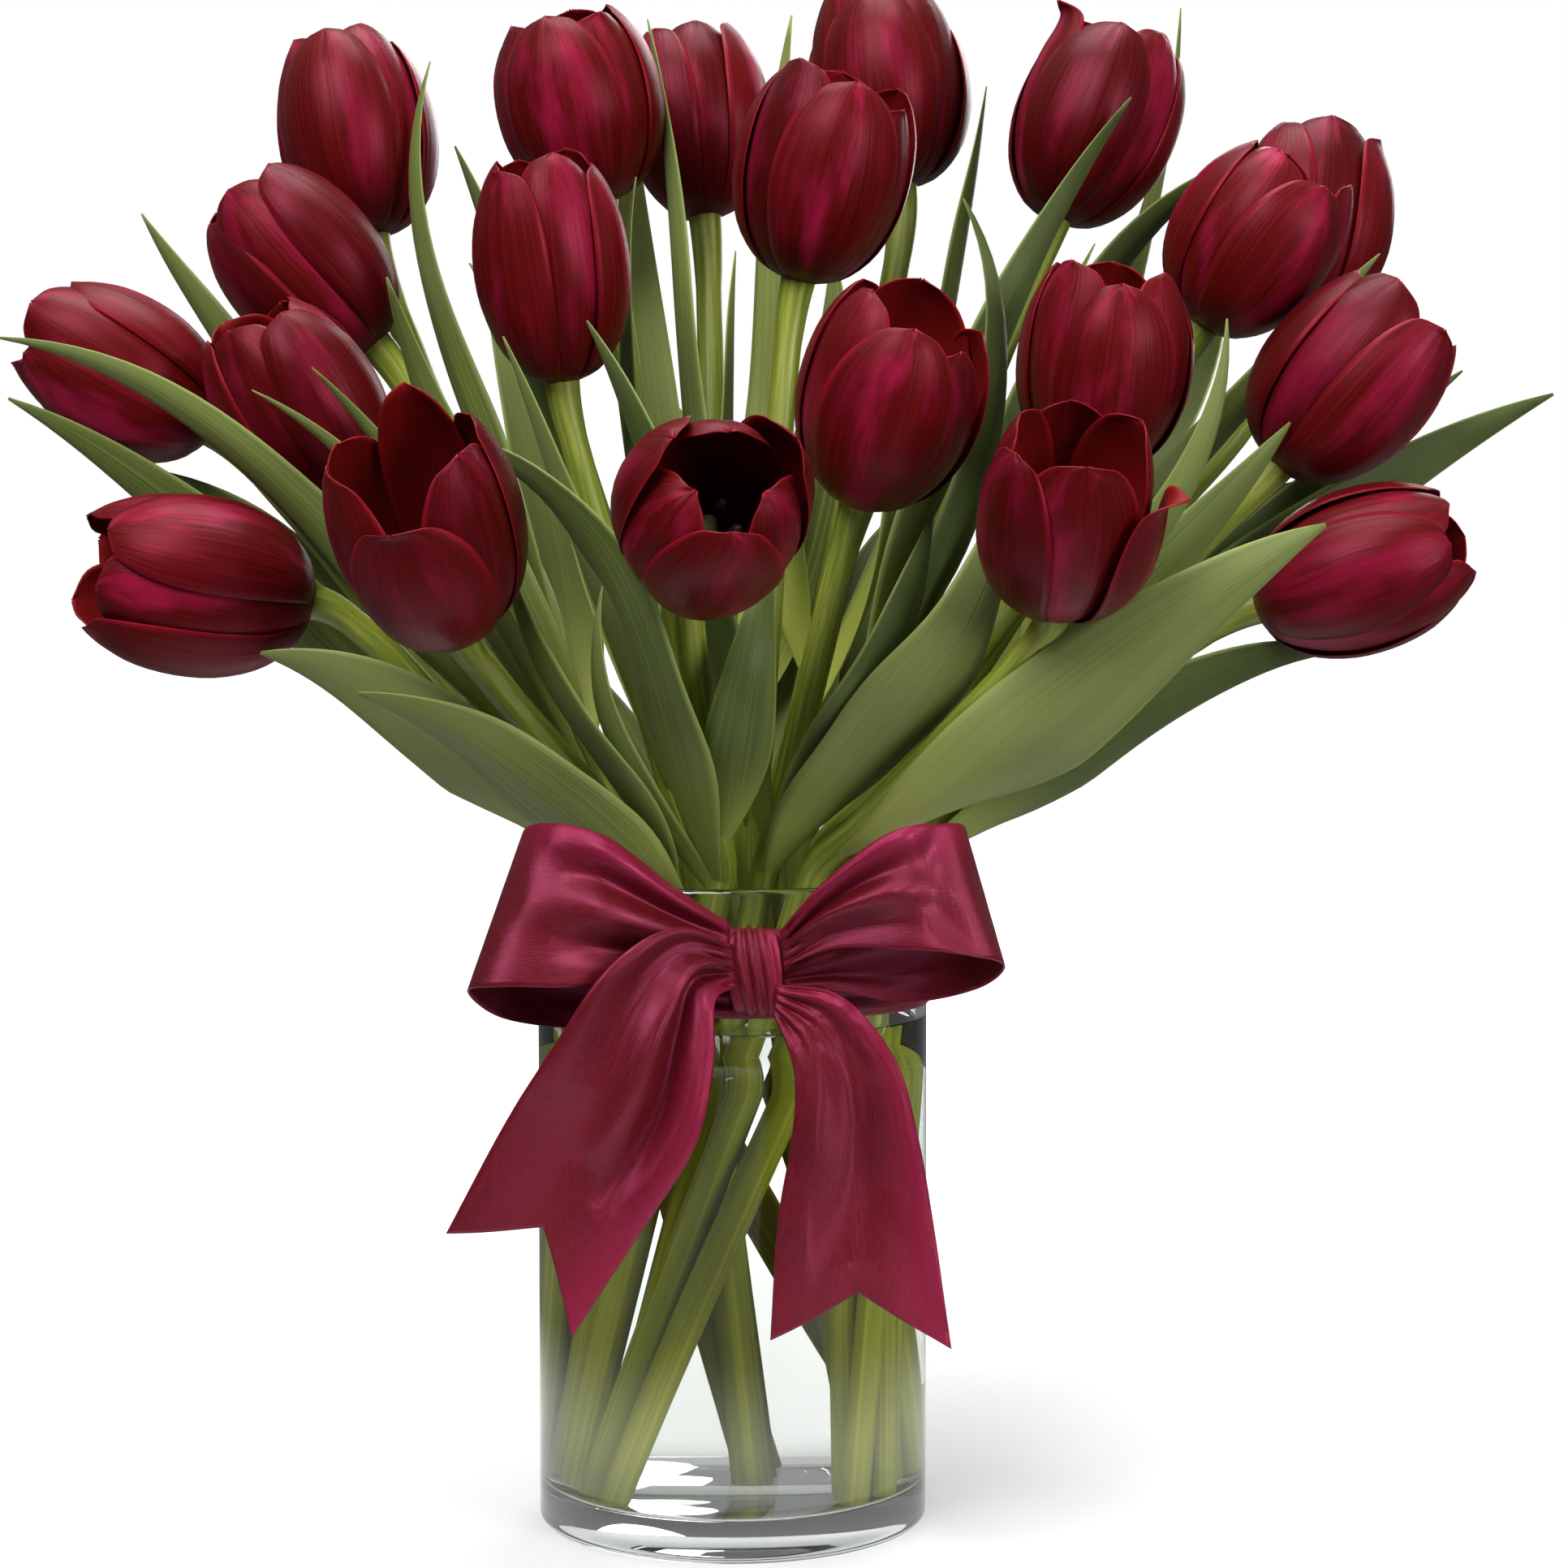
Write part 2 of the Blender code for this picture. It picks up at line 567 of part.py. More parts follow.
def leaf_grids(rows, width, turn):
    """The blade's two faces, three points across, folded to a channel towards its upper face."""
    tangents = [unit(after - before) for before, after in zip(rows[:-2], rows[2:])]
    tangents.append(unit(rows[-1] - rows[-2]))
    inward = -np.array([rows[-1][0], rows[-1][1], 0.0]) / np.linalg.norm(rows[-1][:2])
    across = np.cross(tangents[0], inward + np.array([0.0, 0.0, LEAF_FACE_RISE]))
    front, back = [], []
    for point, tangent, s in zip(rows[1:], tangents, LEAF_STATIONS[1:]):
        across = unit(across - tangent * np.dot(across, tangent))
        face = np.cross(across, tangent)
        angle = math.radians(turn) * min(1.0, s / LEAF_TURNED_BY)
        side = across * math.cos(angle) + face * math.sin(angle)
        face = face * math.cos(angle) - across * math.sin(angle)
        half = leaf_width(s, width) / 2
        lift = half * (LEAF_FOLD_AT_ROOT + (LEAF_FOLD_AT_TIP - LEAF_FOLD_AT_ROOT) * s) * face
        line = [point - half * side + lift, point, point + half * side + lift]
        thick = LEAF_THICKNESS / 2 * face
        if not front:
            front.append([rows[0] + thick + LEAF_ROOT_SHARE * (p - rows[0]) for p in line])
            back.append([rows[0] - thick + LEAF_ROOT_SHARE * (p - rows[0]) for p in line])
        front.append([p + thick for p in line])
        back.append([p - thick for p in line])
    return np.array(front), np.array(back)


def point_on(route, height):
    """The stem's centre and direction at a height above the table."""
    for low, high in zip(route[1:], route[2:]):
        if high[2] >= height:
            share = (height - low[2]) / (high[2] - low[2])
            return low + share * (high - low), unit(high - low)
    return route[-2], unit(route[-1] - route[-2])


def leaf_blades(name, route):
    """The closed blade of every leaf that grows on one stem."""
    blades = []
    for stem, height, middle, tip, width, turn in LEAVES:
        if stem == name:
            root, tangent = point_on(route, max(LEAF_LOWEST_ROOT, height * MM))
            rows = leaf_rows(root, tangent, np.array(middle) * MM, np.array(tip) * MM)
            blades.append(blade_mesh(*leaf_grids(rows, width * MM, turn), flat_root=True))
    return blades


def make_leafy_stem(name, route, material):
    item = make_object(name + "_stem", stem_mesh(name, route), material)
    leaves = [make_object(f"{name}_leaf_{k}", blade) for k, blade in enumerate(leaf_blades(name, route))]
    if leaves:
        combine(item, leaves, "UNION")
        keep_main_shell(item)
    shade(item, LEAF_SHADING)


# Blooms: three outer and three inner petals that rise from a small seat
# At each station along the petal: its distance from the axis in a closed and in an open bloom,
# and its half width, each as a share of the bloom's radius
CLOSED_RADIUS = (0.80, 0.99, 0.48)
OPEN_RADIUS = (0.82, 1.12, 1.18)
PETAL_HALF_WIDTH = (0.70, 0.97, 0.16)


def petal_grids(radius, length, openness, middle_angle, inner):
    """One petal's two faces about the Z axis, with its root inside the seat."""
    columns = INNER_PETAL_COLUMNS if inner else OUTER_PETAL_COLUMNS
    inset = INNER_PETAL_INSET if inner else 0.0
    bent = radius * (np.array(CLOSED_RADIUS) * (1 - openness) + np.array(OPEN_RADIUS) * openness)
    heights = length * np.array(PETAL_STATIONS) * (1.0 if inner else OUTER_PETAL_LENGTH) + PETAL_LIFT
    halves = radius * np.array(PETAL_HALF_WIDTH) * (INNER_PETAL_WIDTH if inner else OUTER_PETAL_WIDTH)
    front, back = [], []
    for k in range(len(PETAL_STATIONS)):
        low, high = max(k - 1, 0), min(k + 1, len(PETAL_STATIONS) - 1)
        slope = math.atan2(bent[high] - bent[low], heights[high] - heights[low])
        distance = bent[k] - inset
        line_out, line_in = [], []
        for u in columns:
            angle = middle_angle + u * halves[k] / distance
            away = np.array([math.cos(angle), math.sin(angle), 0.0])
            rounded = TIP_ROUNDING * length * u * u if k == high else 0.0
            point = away * distance + np.array([0.0, 0.0, heights[k] - rounded])
            normal = away * math.cos(slope) - np.array([0.0, 0.0, math.sin(slope)])
            line_out.append(point + normal * PETAL_THICKNESS / 2)
            line_in.append(point - normal * PETAL_THICKNESS / 2)
        front.append(line_out)
        back.append(line_in)
    apex = np.array([0.0, 0.0, INNER_ROOT_APEX if inner else OUTER_ROOT_APEX])
    drop = np.array([0.0, 0.0, PETAL_ROOT_OPENING * PETAL_THICKNESS])
    front.insert(0, [apex - drop + PETAL_ROOT_SHARE * (p - apex + drop) for p in front[0]])
    back.insert(0, [apex + drop + PETAL_ROOT_SHARE * (p - apex - drop) for p in back[0]])
    return np.array(front), np.array(back)


def make_bloom(name, material):
    base, tip, radius, openness, turn = TULIPS[name]
    base, tip = np.array(base) * MM, np.array(tip) * MM
    length = np.linalg.norm(tip - base)
    radius *= MM
    across = np.array([1.0, 0.0, 0.0])
    upright = np.array([0.0, 1.0, 0.0])
    levels = [np.array([0.0, 0.0, SEAT_BOTTOM]), np.array([0.0, 0.0, SEAT_TOP])]
    widths = [SEAT_BOTTOM_RADIUS, SEAT_TOP_RADIUS]
    seat = tube_mesh(levels, [across] * 2, [upright] * 2, widths, SEAT_SIDES)
    item = make_object(name + "_bloom", seat, material)
    petals = []
    for k in range(PETALS):
        angle = math.radians(turn) + 2 * math.pi * k / PETALS
        grids = petal_grids(radius, length, openness, angle, inner=k % 2 == 1)
        petals.append(make_object(f"{name}_petal_{k}", blade_mesh(*grids, flat_root=True)))
    combine(item, petals, "UNION")
    keep_main_shell(item)
    shade(item, PETAL_SHADING)
    item.location = base
    item.rotation_mode = "QUATERNION"
    item.rotation_quaternion = Vector(tip - base).to_track_quat("Z", "Y")


# Ribbon: a band round the glass, and a bow of two loops and two tails held by a knot
KNOT_CENTRE = np.array([7.0, -62.4, 162.0]) * MM
KNOT_WIDTH = 14 * MM
KNOT_HEIGHT = 25 * MM
KNOT_DEPTH = 12 * MM
KNOT_LEVELS = (-0.5, -0.42, 0.0, 0.42, 0.5)
KNOT_SWELL = (0.66, 0.88, 1.0, 0.88, 0.66)
KNOT_SIDES = 12
LOOP_ROWS = 17
TAIL_ROWS = 10
TAIL_LEFT_NOTCH = 18 * MM
TAIL_RIGHT_NOTCH = 14 * MM


def make_band(material):
    inner = VASE_RADIUS + GAP
    outer = inner + BAND_THICKNESS
    profile = [(inner, BAND_BOTTOM), (outer, BAND_BOTTOM), (outer, BAND_TOP), (inner, BAND_TOP)]
    turned("ribbon_band", profile, VASE_SIDES, material)


def make_knot(material):
    """The pinched ribbon over the bow's middle: a drum that swells at mid height."""
    centres = [KNOT_CENTRE + np.array([0.0, 0.0, KNOT_HEIGHT * z]) for z in KNOT_LEVELS]
    wide = [np.array([KNOT_WIDTH / 2, 0.0, 0.0])] * len(KNOT_LEVELS)
    deep = [np.array([0.0, KNOT_DEPTH / 2, 0.0])] * len(KNOT_LEVELS)
    item = make_object("bow_knot", tube_mesh(centres, wide, deep, KNOT_SWELL, KNOT_SIDES), material)
    shade(item, KNOT_SHADING)


def smooth_line(points, count):
    """A smooth curve through hand-placed points, sampled evenly in its own parameter."""
    points = np.array(points, dtype=float)
    padded = np.concatenate([[2 * points[0] - points[1]], points, [2 * points[-1] - points[-2]]])
    line = []
    for step in np.linspace(0, len(points) - 1, count):
        k = min(int(step), len(points) - 2)
        s = step - k
        a, b, c, d = padded[k : k + 4]
        line.append(
            0.5 * (2 * b + (c - a) * s + (2 * a - 5 * b + 4 * c - d) * s**2 + (3 * b - a - 3 * c + d) * s**3)
        )
    return np.array(line)


def ribbon_grids(centres, halves, notch=0.0, columns=5):
    """A strip's two faces from its middle line and half-width vectors, with a V cut at its far end."""
    tangents = np.gradient(centres, axis=0)
    front, back = [], []
    for k, (centre, half) in enumerate(zip(centres, halves)):
        normal = unit(np.cross(tangents[k], half)) * RIBBON_THICKNESS / 2
        forward = unit(tangents[k])
        line = []
        for u in np.linspace(-1, 1, columns):
            cut = notch * (1 - abs(u)) if k == len(centres) - 1 else 0.0
            line.append(centre + u * half - forward * cut)
        front.append([p + normal for p in line])
        back.append([p - normal for p in line])
    return np.array(front), np.array(back)


# Middle line and half-width vectors of each stretch of the bow, in mm from the knot's centre
LOOP_RIGHT = (
    ((6.7, -2.5, 6), (0, 0, 5)),
    ((20, -9, 16), (-1, 0, 9)),
    ((38, -16, 22.5), (-3, 2, 15)),
    ((53, -14, 23), (-5, 4, 17)),
    ((60.5, -3, 20), (-5, 5, 18)),
    ((55, 6.5, 13), (-4, 4, 18)),
    ((38, 8, 7.5), (-3, 2, 16.5)),
    ((20, 4.5, 4), (-2, 1, 10)),
    ((6.7, 2.5, 0), (0, 0, 6)),
)
LOOP_LEFT = (
    ((-6.7, -2.5, 5), (0, 0, 8)),
    ((-22, -10, 11), (1, 0, 12)),
    ((-42, -18, 17.5), (3, 2, 19.5)),
    ((-60, -14.5, 19), (6, 4, 21)),
    ((-68.5, -3, 16), (7, 5, 20.5)),
    ((-62, 7, 8), (5, 4, 21)),
    ((-42, 8, 2), (3, 2, 18)),
    ((-20, 4.5, -1), (2, 1, 12)),
    ((-6.7, 2.5, -3), (0, 0, 8)),
)
TAIL_LEFT = (
    ((-5.5, -4.4, 2), (0.3, 0, -5.5)),
    ((-17, -14.5, 3), (5, 2, -10)),
    ((-25, -19, -9), (13, 4.5, -13)),
    ((-34, -17, -30), (18.5, 3, -12.5)),
    ((-47, -12, -52), (19, 2, -12.5)),
    ((-65, -8, -82.5), (16.5, 0.5, -14)),
)
TAIL_RIGHT = (
    ((5.2, -4.3, -7), (0.3, 0, 4)),
    ((16, -9, -13), (7, 1, 7)),
    ((23.5, -8, -26), (13, 1, 4)),
    ((26, -6, -43), (16.5, 1, 1)),
    ((26.5, -4, -66), (20.5, 0, 0)),
    ((28, -4, -99), (24, -1, -1)),
)


def make_strip(name, stations, notch, count, material):
    centres = smooth_line([c for c, _ in stations], count) * MM + KNOT_CENTRE
    halves = smooth_line([h for _, h in stations], count) * MM
    item = make_object(name, blade_mesh(*ribbon_grids(centres, halves, notch)), material)
    shade(item, RIBBON_SHADING)


def make_bow(material):
    make_knot(material)
    make_strip("bow_loop_left", LOOP_LEFT, 0.0, LOOP_ROWS, material)
    make_strip("bow_loop_right", LOOP_RIGHT, 0.0, LOOP_ROWS, material)
    make_strip("bow_tail_left", TAIL_LEFT, TAIL_LEFT_NOTCH, TAIL_ROWS, material)
    make_strip("bow_tail_right", TAIL_RIGHT, TAIL_RIGHT_NOTCH, TAIL_ROWS, material)


def main():
    clear_scene()
    petal = finish_material("petal", PETAL_FINISH)
    leaf = finish_material("leaf", LEAF_FINISH)
    ribbon = finish_material("ribbon", RIBBON_FINISH)
    glass = finish_material("glass", GLASS_FINISH, transmission=1.0)
    water_finish = finish_material("water", WATER_FINISH, transmission=1.0)

    routes = stem_routes()
    make_vase(glass)
    make_water(water_finish, routes)
    for name, route in routes.items():
        make_leafy_stem(name, route, leaf)
        make_bloom(name, petal)
    make_band(ribbon)
    make_bow(ribbon)


main()
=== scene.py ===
import math

import bpy
import numpy as np
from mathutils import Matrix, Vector


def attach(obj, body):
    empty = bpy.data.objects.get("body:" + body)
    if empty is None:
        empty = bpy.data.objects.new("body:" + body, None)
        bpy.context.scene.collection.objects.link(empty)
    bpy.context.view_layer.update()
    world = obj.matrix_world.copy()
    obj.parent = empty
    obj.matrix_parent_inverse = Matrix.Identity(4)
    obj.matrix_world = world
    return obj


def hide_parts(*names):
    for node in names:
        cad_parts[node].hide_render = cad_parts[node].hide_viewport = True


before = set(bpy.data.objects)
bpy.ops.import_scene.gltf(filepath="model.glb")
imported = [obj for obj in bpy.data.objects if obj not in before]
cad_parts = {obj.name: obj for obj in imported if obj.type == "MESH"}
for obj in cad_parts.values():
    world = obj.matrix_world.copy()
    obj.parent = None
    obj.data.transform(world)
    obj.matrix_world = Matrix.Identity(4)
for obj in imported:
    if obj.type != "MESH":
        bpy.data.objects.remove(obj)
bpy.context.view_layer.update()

# The vase: a drawn clear glass cylinder on a thick solid base. The rim is fire-polished round, and the
# inside of the base curves up into the wall. It carries everything else.
MM = 0.001
VASE_RADIUS = 55 * MM
VASE_HEIGHT = 183 * MM
VASE_WALL = 3 * MM
VASE_FLOOR = 11 * MM
FOOT_ROUNDING = 2.5 * MM
INNER_ROUNDING = 4.5 * MM
HOLLOW_UNDERSIDE = [(0, 0.4 * MM), (34 * MM, 0.4 * MM), (38 * MM, 0)]
DISHED_FLOOR = [(20 * MM, VASE_FLOOR - 0.5 * MM), (0, VASE_FLOOR - 0.8 * MM)]
GLASS_SIDES = 128
GLASS_CLEAR = ((0.3, (0.965, 0.985, 0.98)), (0.7, (0.995, 1.0, 1.0)))
GLASS_IN_BASE = (0.78, 0.82, 0.81)
# The foot's rounding is darkened as a painted dark reflection of the surroundings that real glass shows there
GLASS_FOOT_PAINTED_DARK = (0.20, 0.22, 0.22)
LIGHT_THROUGH = (0.87, 0.88, 0.87, 1.0)


class Shading:
    """The nodes of one material or shader group, made and linked in one call each."""

    def __init__(self, tree):
        self.tree = tree

    def add(self, kind, inputs=None, **settings):
        node = self.tree.nodes.new("ShaderNode" + kind)
        for name, value in settings.items():
            setattr(node, name, value)
        for socket, value in (inputs or {}).items():
            self.put(node.inputs[socket], value)
        return node

    def put(self, socket, value):
        if isinstance(value, bpy.types.NodeSocket):
            self.tree.links.new(value, socket)
        else:
            socket.default_value = value

    def math(self, operation, a, b=0.0):
        return self.add("Math", {0: a, 1: b}, operation=operation).outputs[0]

    def times(self, a, b):
        return self.math("MULTIPLY", a, b)

    def mark(self, name):
        return self.add("Attribute", attribute_name=name).outputs["Fac"]

    def place(self):
        return self.add("TexCoord").outputs["Object"]

    def height(self):
        return self.add("SeparateXYZ", {0: self.place()}).outputs["Z"]

    def noise(self, scale, detail=3.0, vector=None, roughness=0.5):
        inputs = {"Vector": vector or self.place(), "Scale": scale, "Detail": detail, "Roughness": roughness}
        return self.add("TexNoise", inputs).outputs["Fac"]

    def spread(self, value, low, high, to_low=0.0, to_high=1.0):
        inputs = {"Value": value, "From Min": low, "From Max": high, "To Min": to_low, "To Max": to_high}
        return self.add("MapRange", inputs, interpolation_type="SMOOTHSTEP").outputs["Result"]

    def ramp(self, value, stops):
        node = self.add("ValToRGB", {"Fac": value})
        elements = node.color_ramp.elements
        while len(elements) < len(stops):
            elements.new(0.5)
        for element, (place, colour) in zip(elements, stops):
            element.position = place
            element.color = (*colour, 1.0)
        return node.outputs["Color"]

    def mix(self, share, a, b, blend="MIX"):
        node = self.add("Mix", data_type="RGBA", blend_type=blend)
        for socket, value in ((node.inputs["Factor"], share), (node.inputs[6], a), (node.inputs[7], b)):
            self.put(socket, (*value, 1.0) if isinstance(value, tuple) else value)
        return node.outputs[2]

    def layered(self, colour, *layers):
        for share, over in layers:
            colour = self.mix(share, colour, over)
        return colour

    def bump(self, height, distance, strength):
        inputs = {"Height": height, "Distance": distance, "Strength": strength}
        return self.add("Bump", inputs).outputs["Normal"]


def new_material(name):
    material = bpy.data.materials.new(name)
    material.use_nodes = True
    material.node_tree.nodes.clear()
    return material, Shading(material.node_tree)


def clear_finish(material, shading, inputs):
    """A clear finish that lets lamp light pass, so that what stands inside is lit."""
    shader = shading.add("BsdfPrincipled", inputs)
    clear = shading.add("BsdfTransparent", {"Color": LIGHT_THROUGH})
    to_lamp = shading.add("LightPath").outputs["Is Shadow Ray"]
    both = shading.add("MixShader", {0: to_lamp, 1: shader.outputs[0], 2: clear.outputs[0]})
    shading.add("OutputMaterial", {"Surface": both.outputs[0]})
    return material


def glass_material():
    material, shading = new_material("drawn_glass")
    smears = shading.noise(38.0, 4.0)
    waves = shading.noise(11.0, 2.0)
    height = shading.height()
    in_base = shading.spread(height, 3 * MM, 13 * MM, 0.35, 0.0)
    # the darkening low in the foot is a painted dark reflection, not a tint of the glass
    painted_foot_dark = shading.spread(height, 0.8 * MM, 2.6 * MM, 0.75, 0.0)
    clear = shading.ramp(waves, GLASS_CLEAR)
    inputs = {
        "Base Color": shading.layered(clear, (in_base, GLASS_IN_BASE), (painted_foot_dark, GLASS_FOOT_PAINTED_DARK)),
        "Roughness": shading.spread(smears, 0.45, 0.8, 0.0, 0.035),
        "IOR": 1.5,
        "Transmission Weight": 1.0,
        "Normal": shading.bump(waves, 0.4 * MM, 0.12),
    }
    return clear_finish(material, shading, inputs)


def arc(centre, radius, start, end, steps):
    """Points of an arc as (radius, height), angles in degrees."""
    angles = np.radians(np.linspace(start, end, steps))
    return [(centre[0] + radius * math.cos(a), centre[1] + radius * math.sin(a)) for a in angles]


def turned_mesh(name, profile, sides, material):
    """A closed solid turned round the vase's axis from a profile that starts and ends on it."""
    angles = np.arange(sides) * 2 * math.pi / sides
    ring = np.column_stack([np.cos(angles), np.sin(angles)])
    points = [(0.0, 0.0, profile[0][1])]
    for radius, height in profile[1:-1]:
        points += [(radius * x, radius * y, height) for x, y in ring]
    points.append((0.0, 0.0, profile[-1][1]))
    faces = []
    last = len(points) - 1
    for j in range(sides):
        k = (j + 1) % sides
        faces.append((0, 1 + k, 1 + j))
        for i in range(len(profile) - 3):
            a, b = 1 + i * sides, 1 + (i + 1) * sides
            faces.append((a + j, a + k, b + k, b + j))
        faces.append((last - sides + j, last - sides + k, last))
    mesh = bpy.data.meshes.new(name)
    mesh.from_pydata(points, [], faces)
    mesh.materials.append(material)
    mesh.shade_smooth()
    return mesh


def show(mesh, nodes):
    """Puts a finished mesh in the scene, in the place of its CAD nodes."""
    piece = bpy.data.objects.new(mesh.name, mesh)
    bpy.context.scene.collection.objects.link(piece)
    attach(piece, "root")
    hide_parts(*nodes)
    return piece


inner_radius = VASE_RADIUS - VASE_WALL
rim = VASE_WALL / 2
rings = (0.2, 0.4, 0.6, 0.8)
corner = (inner_radius - INNER_ROUNDING, VASE_FLOOR + INNER_ROUNDING)
profile = HOLLOW_UNDERSIDE + arc((VASE_RADIUS - FOOT_ROUNDING, FOOT_ROUNDING), FOOT_ROUNDING, -90, 0, 7)
profile += [(VASE_RADIUS, share * VASE_HEIGHT) for share in rings]
profile += arc((VASE_RADIUS - rim, VASE_HEIGHT - rim), rim, 0, 180, 9)
profile += [(inner_radius, share * VASE_HEIGHT) for share in rings[::-1]]
profile += arc(corner, INNER_ROUNDING, 0, -90, 8) + DISHED_FLOOR
show(turned_mesh("glass_vase", profile, GLASS_SIDES, glass_material()), ["vase"])


# The water: fills the vase to about four fifths. Its edge climbs the glass in a small meniscus. Its sides
# lie a hair inside the glass wall, so that light passes from one to the other as it really does.
WATER_TOP = 142 * MM
WATER_LAP = 0.15 * MM
WATER_CLEAR = ((0.3, (0.93, 0.97, 0.91)), (0.7, (0.985, 0.995, 0.975)))

# The meniscus and the level water inside it: distance from the glass and rise (mm)
MENISCUS = ((0, 1.6), (0.5, 0.8), (1.5, 0.25), (4, 0))
LEVEL_WATER = [(25 * MM, WATER_TOP), (0, WATER_TOP)]


def water_material():
    material, shading = new_material("clear_water")
    cloud = shading.noise(22.0, 3.0)
    inputs = {
        "Base Color": shading.ramp(cloud, WATER_CLEAR),
        "Roughness": shading.spread(cloud, 0.3, 0.9, 0.0, 0.02),
        "IOR": 1.333,
        "Transmission Weight": 1.0,
        "Normal": shading.bump(cloud, 0.3 * MM, 0.1),
    }
    return clear_finish(material, shading, inputs)


wet = inner_radius + WATER_LAP
corner = (wet - INNER_ROUNDING, VASE_FLOOR + INNER_ROUNDING - WATER_LAP)
profile = [(radius, height - WATER_LAP) for radius, height in DISHED_FLOOR[::-1]]
profile += arc(corner, INNER_ROUNDING, -90, 0, 8)
profile += [(wet, share * WATER_TOP) for share in (0.3, 0.6, 0.9)]
profile += [(wet - away * MM, WATER_TOP + rise * MM) for away, rise in MENISCUS] + LEVEL_WATER
show(turned_mesh("vase_water", profile, GLASS_SIDES, water_material()), ["water"])


# The stems: round, juicy and slightly ribbed. They stand in bunches on the glass floor, lean through the
# vase's mouth in a spiral and bend out to their blooms, keeping clear of the other stems and blooms.
STEM_RADIUS = 4 * MM
STEM_THICK_LOW = 4.3 * MM
STEM_THIN_FROM = 300 * MM
STEM_RINGS = 6
STEM_SPACING = 11.9 * MM
STEM_BLOOM_CLEARANCE = 2 * MM
STEM_SWEEP = 0.8
STEM_ROUNDS = 500
STEM_PUSH = 0.3
BLOOM_PUSH = 0.4
STEM_SMOOTHING = 0.2
STEM_STEPS = 10
STEM_SIDES = 18
STEM_FLARE = 5.2 * MM
STEM_FLARE_RINGS = 8
STEM_START_BELOW_BLOOM = 1.8 * MM
STEM_INTO_BLOOM = 3.5 * MM
STEM_SEED = 99
MOUTH_SPACING = 15 * MM
MOUTH_LIMIT = 42 * MM
MOUTH_GATHER = 0.27
MOUTH_ROUNDS = 400
MOUTH_PUSH = 0.25
RIM_LEAN_SHARE = 0.84
RIM_LEAN_TURN = math.radians(-70)
FOOT_SPACING = 9.8 * MM
FOOT_LIMIT = 43.5 * MM
FOOT_LEVELS = np.linspace(0, 0.9, 7)
FOOT_ROUNDS = 800
FOOT_PULL = 0.05
FOOT_PUSH = 0.3
GAP = 0.3 * MM
BULB_PLACES = np.array([0.1, 0.3, 0.5, 0.7, 0.9])
BULB_SWELL = np.array([0.75, 1.05, 1.1, 1.1, 0.9])
STEM_GREENS = ((0.25, (0.09, 0.13, 0.014)), (0.5, (0.22, 0.265, 0.030)), (0.75, (0.38, 0.43, 0.070)))
STEM_PATCH = (0.27, 0.28, 0.07)
STEM_FOOT = (0.25, 0.26, 0.06)
STEM_IN_WATER = (0.84, 0.78, 0.47)

# Bunches that the feet stand in: how far right (mm), nearest and farthest place (mm), and their tulips
FOOT_BUNCHES = (
    (-32, (-30, 26), (10, 11, 13, 14, 15, 18, 19, 20)),
    (4, (6, 38), (2, 9, 12)),
    (33, (-30, 30), (1, 3, 4, 5, 6, 7, 8, 16, 17)),
)

# Each tulip, numbered from 1: base of the bloom, its tip, its radius (mm), how open it is (0 to 1) and
# its turn (degrees)
TULIPS = (
    ((-108, 60, 370), (-119, 66, 429), 24, 0.10, 20),
    ((-40, 52, 379), (-52, 44, 432), 25, 0.15, 75),
    ((-10, 98, 380), (-16, 106, 438), 23, 0.10, 10),
    ((50, 85, 388), (43, 94, 447), 25, 0.15, 45),
    ((19, 28, 354), (33, 21, 411), 25, 0.35, 95),
    ((95, 50, 374), (118, 57, 430), 24, 0.20, 30),
    ((172, 74, 347), (178, 88, 402), 24, 0.20, 60),
    ((135, 20, 340), (163, 10, 384), 24, 0.20, 100),
    ((-104, 26, 335), (-143, 22, 378), 23, 0.15, 50),
    ((-104, -12, 289), (-132, -22, 339), 23, 0.15, 15),
    ((-148, 5, 309), (-197, 0, 339), 22, 0.15, 80),
    ((-48, 0, 323), (-54, -8, 384), 22, 0.20, 35),
    ((35, -35, 288), (51, -56, 341), 25, 0.35, 110),
    ((-72, -58, 253), (-84, -90, 300), 25, 0.50, 45),
    ((-10, -66, 270), (2, -112, 293), 25, 0.30, 25),
    ((100, -14, 297), (106, -26, 352), 24, 0.25, 5),
    ((154, -2, 299), (191, -8, 342), 25, 0.25, 90),
    ((86, -60, 259), (90, -90, 303), 23, 0.50, 85),
    ((-116, -28, 260), (-175, -43, 270), 25, 0.15, 40),
    ((147, -15, 259), (201, -28, 277), 23, 0.10, 65),
)


def unit(vectors):
    return vectors / np.linalg.norm(vectors, axis=-1, keepdims=True)


def push_off(points, owners, others, other_owners, clear):
    """How far to move each point so that it keeps clear of what others own."""
    apart = points[:, None] - others
    distance = np.linalg.norm(apart, axis=2) + 1e-9
    push = np.clip(clear - distance, 0, None)
    push[owners[:, None] == other_owners] = 0
    return (apart / distance[..., None] * push[..., None]).sum(axis=1)


def held_in(points, limit):
    """Points in plan, drawn back to a circle where they stand outside it."""
    radius = np.linalg.norm(points, axis=1)
    return points * np.minimum(1, limit / np.maximum(radius, MM))[:, None]


def mouth_points(heads):
    """Where the stems pass the rim: the heads' plan drawn in, then spread to an even spacing."""
    points = heads[:, :2] * MOUTH_GATHER
    owners = np.arange(len(points))
    for _ in range(MOUTH_ROUNDS):
        points = points + MOUTH_PUSH * push_off(points, owners, points, owners, MOUTH_SPACING)
        points = held_in(points, MOUTH_LIMIT)
    return points


